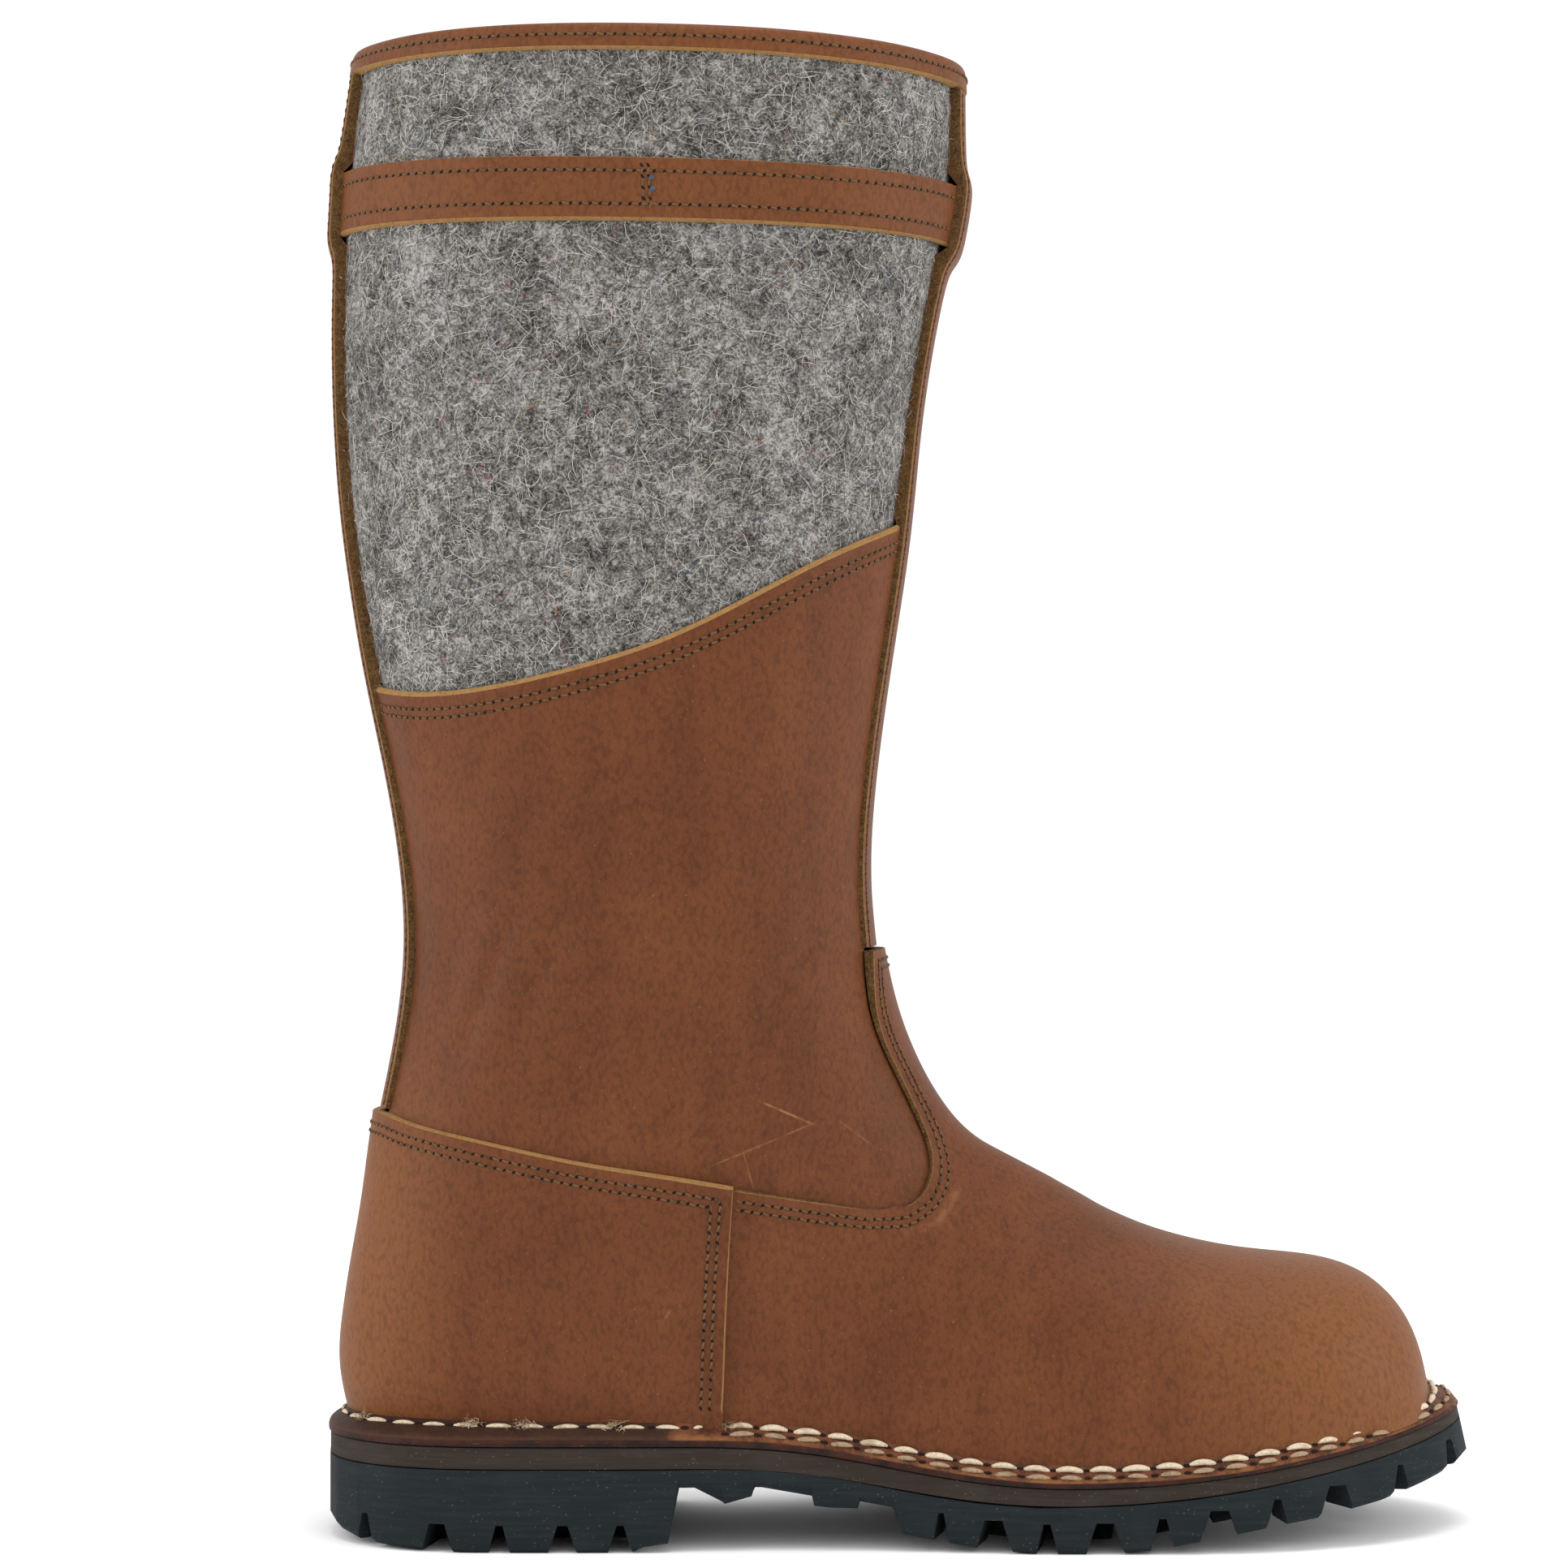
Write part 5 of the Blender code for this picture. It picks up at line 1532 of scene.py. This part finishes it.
@dataclass
class FeltShell:
    """The felt upper with its lining and loose fibres, and the insole inside it."""

    under_leather: float = 7.0
    push_in: float = 0.8
    foot_top: float = 130.0
    fibres: int = 32000
    seed: int = 41
    kind: FibreKind = FibreKind((2.0, 8.5), (0.09, 0.17), (0.10, 0.30), bend=1.0, lift=0.07)
    tints: tuple[Tint, ...] = (Tint.PALE, Tint.GREY, Tint.DARK, Tint.RED, Tint.BLUE, Tint.OCHRE)
    tint_shares: tuple[float, ...] = (0.28, 0.36, 0.345, 0.005, 0.005, 0.005)
    standing_share: float = 0.03
    standing_lift: float = 0.4
    shortest: float = 0.6
    rim_margin: float = 2.0
    rim_step: float = 8.0

    def build(self) -> Piece:
        """The shell, outside in felt, inside in lining, and painted dark brown as shade where leather covers
        it.
        """
        piece = merged_copy("felt_shell", "upper")
        for finish in (FELT, LINING, UNDERLAY_SHADE):
            piece.data.materials.append(finish.material())
        sharpen(piece, 50.0)
        smooth_out(piece, 2)
        points, outs = coordinates(piece), normals(piece)
        outward = points_outward(points, outs)
        edge = np.array([felt_edge(x) for x in drawn(points)[:, 0]])
        covered = outward & (drawn(points)[:, 2] < edge - self.under_leather)
        low = self.foot_top * MM
        inward = covered & (points[:, 2] > low)
        move_points(piece, points - outs * (self.push_in * MM * inward)[:, None])
        # Felt that leather covers gets the painted shade, as it shows only in the gaps between panels
        for face in piece.data.polygons:
            corners = list(face.vertices)
            if points[corners, 2].mean() < low:
                dark = outs[corners, 2].mean() > -0.2 and covered[corners].any()
                face.material_index = COVERED if dark else INSIDE
            elif outward[corners].mean() < 0.5:
                face.material_index = INSIDE
            else:
                face.material_index = COVERED if covered[corners].all() else OUTSIDE
        shade(piece, 60.0)
        settle(piece, Slot.FELT, "upper")
        self.add_fibres(piece)
        return piece

    def add_fibres(self, shell: Piece) -> Piece:
        """Loose fibres lying on the felt and standing off its outline.

        Args:
            shell: The felt shell that carries them.

        Returns:
            The fibres' piece.
        """
        random = np.random.default_rng(self.seed)
        outside = (face for face in shell.data.polygons if face.material_index == OUTSIDE)
        felt = [face for face in outside if len(face.vertices) == 4]
        areas = np.array([face.area for face in felt])
        chosen = random.choice(len(felt), self.fibres, p=areas / areas.sum())
        points = coordinates(shell)
        corners = points[np.array([list(face.vertices) for face in felt])[chosen]]
        outs = np.array([face.normal for face in felt])[chosen]
        u, v = random.random((2, self.fibres, 1))
        roots = (corners[:, 0] * (1 - u) + corners[:, 1] * u) * (1 - v)
        roots += (corners[:, 3] * (1 - u) + corners[:, 2] * u) * v
        kinds = random.choice(len(self.tints), self.fibres, p=np.array(self.tint_shares))
        tints = np.array([tint.value for tint in self.tints])[kinds]
        standing = random.random(self.fibres) < self.standing_share
        shape = self.kind.draw(random, self.fibres)
        shape["lift"] += self.standing_lift * standing
        room = self.room_above(points, roots) - self.rim_margin * MM
        shape["length"] = np.minimum(shape["length"], np.maximum(2 * room, self.shortest * MM))
        fibres = Fibres("felt_fibres", Slot.FELT)
        fibres.add(roots, outs, directions_across(random, outs), shape, tints)
        return fibres.build()

    def room_above(self, points: Array, roots: Array) -> Array:
        """How far each fibre's root lies under the collar's rim, in metres.

        Args:
            points: The shell's points.
            roots: The fibres' roots.

        Returns:
            A height for each root.
        """
        low, step = points[:, 0].min(), self.rim_step * MM
        steps, at = (((rows[:, 0] - low) / step).astype(int) for rows in (points, roots))
        rim = np.zeros(steps.max() + 1)
        np.maximum.at(rim, steps, points[:, 2])
        return rim[at] - roots[:, 2]

    def insole(self) -> Piece:
        """The board inside the boot, with a rounded edge."""
        piece = merged_copy("insole_board", "insole")
        piece.data.materials.append(INSOLE_LEATHER.material())
        round_edges(piece, 0.8, 50.0)
        shade(piece, 40.0)
        return settle(piece, Slot.INSOLE, "insole")


@dataclass
class SoleWork:
    """Welt, midsole and outsole, the turned-out flange of the upper and its heavy sewing."""

    flange_inset: float = 0.4
    wall_height: float = 4.0
    stations: int = 320
    upper_stitch: Stitch = Stitch(pitch=8.6, length=7.6, width=1.9, rise=0.55, around=9, along=9)
    lower_stitch: Stitch = Stitch(pitch=8.6, length=5.8, width=1.5, rise=0.25, around=8, along=7)
    heel_stitch: Stitch = Stitch(pitch=8.6, length=6.4, width=1.3, rise=0.25, around=8, along=7)
    heel_end: float = -47.0
    heavy_hole: Stitch = Stitch(pitch=8.6, length=2.0, width=1.3, rise=0.05, around=6, along=5, flat=0.5)
    profile: tuple[Point2, ...] = (
        (1.14, 3.9), (1.0, 3.1), (0.90, 2.35), (0.78, 1.80), (0.56, 1.20), (0.34, 0.65), (0.16, 0.10),
        (0.06, -0.40), (0.02, -0.80), (0.02, -1.35),
    )
    upper_row: float = 0.80
    lower_row: float = 0.26
    rise_window: float = 12.0
    top_face: float = 0.9
    cast_from: float = 4.0
    usual_reach: float = 7.5
    reach_limits: Point2 = (3.0, 16.0)
    reach_mean: int = 7
    frays: tuple[float, ...] = (-141.0, -111.0, -99.5, -73.5, -46.0)
    fray_seed: int = 17
    fray_fibres: int = 60
    fray_kind: FibreKind = FibreKind((1.2, 3.6), (0.10, 0.20), (0.5, 1.5), bend=1.6, lift=0.25)
    fray_lean: float = 0.45
    fray_spread: tuple[float, ...] = (1.6, 0.6, 0.5)

    def layer(self, name: str, node: str, finish: Finish, slot: Slot, width: float) -> Piece:
        """A sole layer with a smooth outline and rounded edges."""
        piece = merged_copy(name, node)
        piece.data.materials.append(finish.material())
        sharpen(piece, 30.0)
        smooth_out(piece, 2)
        round_edges(piece, width, 30.0)
        shade(piece, 40.0)
        self.mark_rise(piece)
        return settle(piece, slot, node)

    def mark_rise(self, piece: Piece) -> None:
        """Stores how high each point lies between the layer's lower and upper face."""
        points = coordinates(piece)
        window = self.rise_window * MM
        rise = np.zeros(len(points))
        xs, _, zs = points[np.argsort(points[:, 0])].T
        for i, (x, _, z) in enumerate(points):
            low, high = np.searchsorted(xs, (x - window, x + window))
            near = zs[low:high]
            rise[i] = (z - near.min()) / max(near.max() - near.min(), 1e-6)
        attribute = piece.data.attributes.new("rise", "FLOAT", "POINT")
        attribute.data.foreach_set("value", rise)

    def outsole(self) -> Piece:
        """The lugged rubber with its edges broken."""
        piece = merged_copy("outsole_unit", "outsole")
        piece.data.materials.append(OUTSOLE_RUBBER.material())
        round_edges(piece, 0.5, 35.0)
        shade(piece, 32.0)
        return settle(piece, Slot.RUBBER, "outsole")

    def outline(self) -> Array:
        """The welt's upper edge as an ordered loop of points."""
        copy = merged_copy("welt_outline", "welt")
        top = faces_beside(face for face in copy.data.polygons if face.normal.z > self.top_face)
        after = neighbours(key for key, faces in top.items() if len(faces) == 1)
        loop = walk(after, next(iter(after)), set())
        points = np.array([copy.data.vertices[v].co for v in loop])
        bpy.data.objects.remove(copy)
        return points

    def build(self, upper_leather: Surface) -> None:
        """All the sole's pieces.

        Args:
            upper_leather: Vamp and counter, which the flange grows out of.
        """
        self.outsole()
        self.layer("midsole_layer", "midsole", MIDSOLE_RUBBER, Slot.MIDSOLE, 0.4)
        self.layer("welt_layer", "welt", WELT_LEATHER, Slot.WELT, 0.35)
        self.flange(self.outline(), upper_leather)

    def flange(self, outline: Array, upper_leather: Surface) -> Piece:
        """The upper's leather turned out on to the welt, and the two rows of heavy stitches through it.

        Args:
            outline: The welt's upper edge.
            upper_leather: Vamp and counter.

        Returns:
            The flange.
        """
        loop = closed_curve(outline, 1.0 * MM)
        loop = loop[np.linspace(0, len(loop), self.stations, endpoint=False).astype(int)]
        tangent = np.roll(loop, -2, axis=0) - np.roll(loop, 2, axis=0)
        tangent[:, 2] = 0
        tangent /= np.linalg.norm(tangent, axis=1)[:, None]
        outward = np.stack([tangent[:, 1], -tangent[:, 0], np.zeros(len(loop))], axis=1)
        if ((loop - loop.mean(axis=0)) * outward).sum() < 0:
            outward = -outward
        reach = np.array([self.distance_in(p, o, upper_leather) for p, o in zip(loop, outward)])
        reach = averaged(reach, self.reach_mean, "wrap")
        rings = [self.ring(loop, outward, reach, share) for share, _ in self.profile]
        rings[-1][:, 2] += (self.profile[-1][1] - self.profile[-2][1]) * MM
        size = len(loop)
        faces = []
        for r in range(len(self.profile) - 1):
            for i in range(size):
                j = (i + 1) % size
                faces.append((r * size + i, (r + 1) * size + i, (r + 1) * size + j, r * size + j))
        piece = mesh_piece("welt_flange", np.concatenate(rings), faces)
        piece.data.materials.append(FLANGE.material())
        with editing(piece):
            bpy.ops.mesh.normals_make_consistent(inside=False)
        smooth_out(piece, 1)
        shade(piece, 60.0)
        self.mark_rise(piece)
        settle(piece, Slot.LEATHER)
        self.sew_flange(loop, outward, reach)
        return piece

    def ring(self, loop: Array, outward: Array, reach: Array, share: float) -> Array:
        """The flange's line at a share of the way in from the welt's edge to the upper's wall."""
        shares, heights = np.array(self.profile[:-1])[::-1].T
        height = np.interp(share, shares, heights) + WELT_SLOPE_DROP
        inset = self.flange_inset * MM
        return loop - outward * (inset + share * (reach - inset))[:, None] + np.array((0, 0, height * MM))

    def distance_in(self, point: Array, outward: Array, leather: Surface) -> float:
        """How far in from the welt's edge the upper's wall stands, in metres."""
        away = self.cast_from * MM
        start = Vector(point) + Vector(outward) * away + Vector((0, 0, self.wall_height * MM))
        hit = leather.cast(start, -Vector(outward))
        if hit is None:
            return self.usual_reach * MM
        least, most = self.reach_limits
        return min(max((hit[0] - start).length - away, least * MM), most * MM)

    def sew_flange(self, loop: Array, outward: Array, reach: Array) -> None:
        """The cream row where the wall turns out, the soiled row near the front's edge, and the painted shade
        in their holes.
        """
        slope = outward * 0.5 + np.array((0.0, 0.0, 0.85))
        high, low = (self.ring(loop, outward, reach, share) for share in (self.upper_row, self.lower_row))
        front, heel = self.stretch(loop, True), self.stretch(loop, False)
        holes = Thread("welt_needle_hole_shades", NEEDLE_HOLE_SHADE, Slot.WELT, 8)
        upper = Thread("welt_stitches_upper", WELT_THREAD, Slot.WELT, 5)
        lower = Thread("welt_stitches_lower", SOILED_THREAD, Slot.WELT, 6)
        rows = (
            (upper, self.upper_stitch, high, front),
            (upper, self.heel_stitch, high, heel),
            (lower, self.lower_stitch, low, front),
        )
        for thread, stitch, row, order in rows:
            both = np.concatenate([row[order], slope[order]], axis=1)
            thread.sew(stitch, both)
            holes.sew(self.heavy_hole, both, 0.0)
        for thread in (upper, lower, holes):
            thread.build()
        self.fray(high, slope)

    def stretch(self, loop: Array, front: bool) -> Array:
        """The loop's points in order, either before the heel or round it."""
        x = drawn(loop)[:, 0]
        start = np.argmin(x) if front else np.argmax(x)
        order = np.roll(np.arange(len(loop)), -start)
        return order[(x[order] > self.heel_end) == front]

    def fray(self, row: Array, outs: Array) -> Piece:
        """Tufts of frayed thread in the cream row on the inner side of the heel.

        Args:
            row: The cream row's points.
            outs: The surface normal at each.

        Returns:
            The tufts as one piece.
        """
        random = np.random.default_rng(self.fray_seed)
        tufts = Fibres("frayed_thread", Slot.WELT)
        inner = np.nonzero(drawn(row)[:, 1] < 0)[0]
        tints = np.array([tint.value for tint in (Tint.CREAM, Tint.SOILED)])
        count = self.fray_fibres
        for x in self.frays:
            at = inner[np.argmin(np.abs(drawn(row)[inner, 0] - x))]
            leans = outs[at] + random.normal(0, self.fray_lean, (count, 3))
            leans /= np.linalg.norm(leans, axis=1)[:, None]
            shape = self.fray_kind.draw(random, count)
            roots = row[at] + random.normal(0, 0.8 * MM, (count, 3)) * self.fray_spread
            ways = directions_across(random, leans)
            tufts.add(roots, leans, ways, shape, tints[random.choice(2, count)])
        return tufts.build()


class SeamWork:
    """All the brown seams: double rows along the panels, single rows on strap, strips and binding."""

    stitch = Stitch(pitch=2.55, length=2.35, width=0.58, rise=0.22, tilt=-0.24)
    hole = Stitch(pitch=2.55, length=1.45, width=0.72, rise=0.04, around=6, along=4, tilt=0.55, flat=0.35)
    rows = {
        "quarter_inner": (3.3, 5.6),
        "quarter_outer": (3.3, 5.6),
        "counter": (3.0, 5.3),
        "vamp": (2.5, 4.7),
        "front_strip": (2.1,),
        "back_strip": (2.1,),
        "strap": (3.4,),
        "collar_binding": (3.0,),
    }
    tack_xs = ((-66.9, -66.2), (-65.2, -64.5))
    tack_heights = (358.6, 347.2)
    tack_points = 24
    knot = Stitch(pitch=1.4, length=1.6, width=1.2, rise=0.3, around=8, along=6, tilt=0.6)
    knots = ((-64.4, 355.4), (-64.1, 352.6))
    knot_half = 0.7
    aside = 120.0
    least_gap = 10.0
    slack = 0.12

    def __init__(self, leather: LeatherWork) -> None:
        """Keeps the leather pieces and starts the thread."""
        self.leather = leather
        self.thread = Thread("seam_stitches", SEAM_THREAD, Slot.LEATHER, 3)
        self.holes = Thread("seam_needle_hole_shades", NEEDLE_HOLE_SHADE, Slot.LEATHER, 4)

    def sew(self, hits: Sequence[Hit]) -> None:
        """Sews one row with a dark grain of painted shade for the hole between each two stitches."""
        rows = np.array([(*place, *out) for place, out in hits])
        self.thread.sew(self.stitch, rows)
        self.holes.sew(self.hole, rows, 0.0)

    def edge_rows(self, node: str, distances: Sequence[float]) -> None:
        """Rows that follow a panel's visible edges.

        Args:
            node: The panel's CAD node.
            distances: How far in from the cut edge the rows lie, in millimetres.
        """
        rims = self.leather.rims[node]
        surface = Surface(self.leather.pieces[node], outside=True)
        edge = np.concatenate([rim.points for rim in rims])
        for rim, distance in ((rim, distance) for rim in rims for distance in distances):
            row = rim.points + rim.inward * distance * MM
            gaps = np.linalg.norm(row[:, None] - edge[None], axis=2).min(axis=1)
            run: list[Hit] = []
            for point in row[gaps >= (distance - self.slack) * MM]:
                hit = surface.nearest(Vector(point))
                if run and (hit[0] - run[-1][0]).length > self.least_gap * MM:
                    self.sew(run)
                    run = []
                run.append(hit)
            self.sew(run)

    def bar_tacks(self, strap: Surface) -> None:
        """The strap's upright double tack on both sides."""
        heights = np.linspace(*self.tack_heights, self.tack_points)
        for side, ends in ((side, ends) for side in Side for ends in self.tack_xs):
            places = zip(np.linspace(*ends, self.tack_points), heights)
            towards = Vector((0, -side.value, 0))
            hits = [strap.cast(placed(x, side.value * self.aside, z), towards) for x, z in places]
            self.sew([hit for hit in hits if hit])

    def tie_knots(self, strap: Surface) -> None:
        """The two small knots that show beside the inner tack."""
        thread = Thread("tack_knots", KNOT_THREAD, Slot.LEATHER, 9)
        for x, z in self.knots:
            starts = [placed(x + s * self.knot_half, -self.aside, z) for s in (-1, 1)]
            hits = [strap.cast(start, Vector((0, 1, 0))) for start in starts]
            thread.sew(self.knot, np.array([(*place, *out) for place, out in hits]))
        thread.build()

    def build(self) -> None:
        """All the seams."""
        for node, distances in self.rows.items():
            self.edge_rows(node, distances)
        strap = Surface(self.leather.pieces["strap"])
        self.bar_tacks(strap)
        self.tie_knots(strap)
        self.thread.build()
        self.holes.build()


@dataclass(frozen=True)
class Lamp:
    """A soft light: its name, place, aim, width and height in metres, and its power in watts."""

    name: str
    place: Colour
    aim: Colour
    size: Point2
    watts: float

    def build(self) -> None:
        """Hangs the light."""
        light = bpy.data.lights.new(self.name, "AREA")
        light.shape = "RECTANGLE"
        light.size, light.size_y = self.size
        light.energy = self.watts
        holder = bpy.data.objects.new(self.name, light)
        holder.location = self.place
        way = Vector(self.aim) - Vector(self.place)
        holder.rotation_euler = way.to_track_quat("-Z", "Y").to_euler()
        bpy.context.scene.collection.objects.link(holder)


@dataclass
class Studio:
    """Floor, light and the camera at the photograph's place."""

    floor_size: float = 12.0
    frame_width: float = 422.3
    sensor: float = 36.0
    far: float = 50.0
    brightness: float = 1.07
    lamps: tuple[Lamp, ...] = (
        Lamp("left_light", (-1.3, -0.5, 0.6), (-0.02, 0.0, 0.18), (0.5, 1.2), 9.0),
        Lamp("right_light", (1.4, -0.4, 0.6), (-0.02, 0.0, 0.18), (0.5, 1.0), 9.0),
        Lamp("top_light", (0.15, -0.2, 1.5), (0.05, 0.0, 0.1), (0.8, 0.5), 7.0),
    )

    def floor(self) -> None:
        """A pale floor with rounded corners."""
        bpy.ops.mesh.primitive_plane_add(size=self.floor_size, location=(0, 0, 0))
        sheet = bpy.context.active_object
        sheet.name = "floor"
        with editing(sheet):
            bpy.ops.mesh.subdivide(number_cuts=3)
            bpy.ops.mesh.bevel(offset=self.floor_size / 8, segments=6, affect="VERTICES")
        sheet.data.materials.append(FLOOR_PAINT.material())

    def surroundings(self) -> None:
        """An even white world, shown without any change of tone."""
        world = bpy.data.worlds.new("surroundings")
        world.use_nodes = True
        background = world.node_tree.nodes["Background"]
        background.inputs["Color"].default_value = (1.0, 1.0, 1.0, 1.0)
        background.inputs["Strength"].default_value = self.brightness
        bpy.context.scene.world = world
        bpy.context.scene.view_settings.view_transform = "Standard"

    def camera(self) -> None:
        """The camera, level and square to the boot's side."""
        camera = bpy.data.cameras.new("camera")
        camera.sensor_width = self.sensor
        camera.lens = self.sensor * -VIEW_POINT[1] / self.frame_width
        camera.clip_end = self.far
        holder = bpy.data.objects.new("camera", camera)
        holder.location = placed(*VIEW_POINT)
        holder.rotation_euler = (math.pi / 2, 0.0, 0.0)
        bpy.context.scene.collection.objects.link(holder)
        bpy.context.scene.camera = holder

    def build(self) -> None:
        """Floor, lights, surroundings and camera."""
        self.floor()
        for lamp in self.lamps:
            lamp.build()
        self.surroundings()
        self.camera()


def main() -> None:
    logging.basicConfig(level=logging.INFO, format="%(name)s %(message)s")
    shell = FeltShell()
    leather = LeatherWork(shell.build())
    leather.build()
    shell.insole()
    SoleWork().build(Surface(leather.pieces["vamp"], leather.pieces["counter"]))
    SeamWork(leather).build()
    Studio().build()


if __name__ == "__main__":
    main()
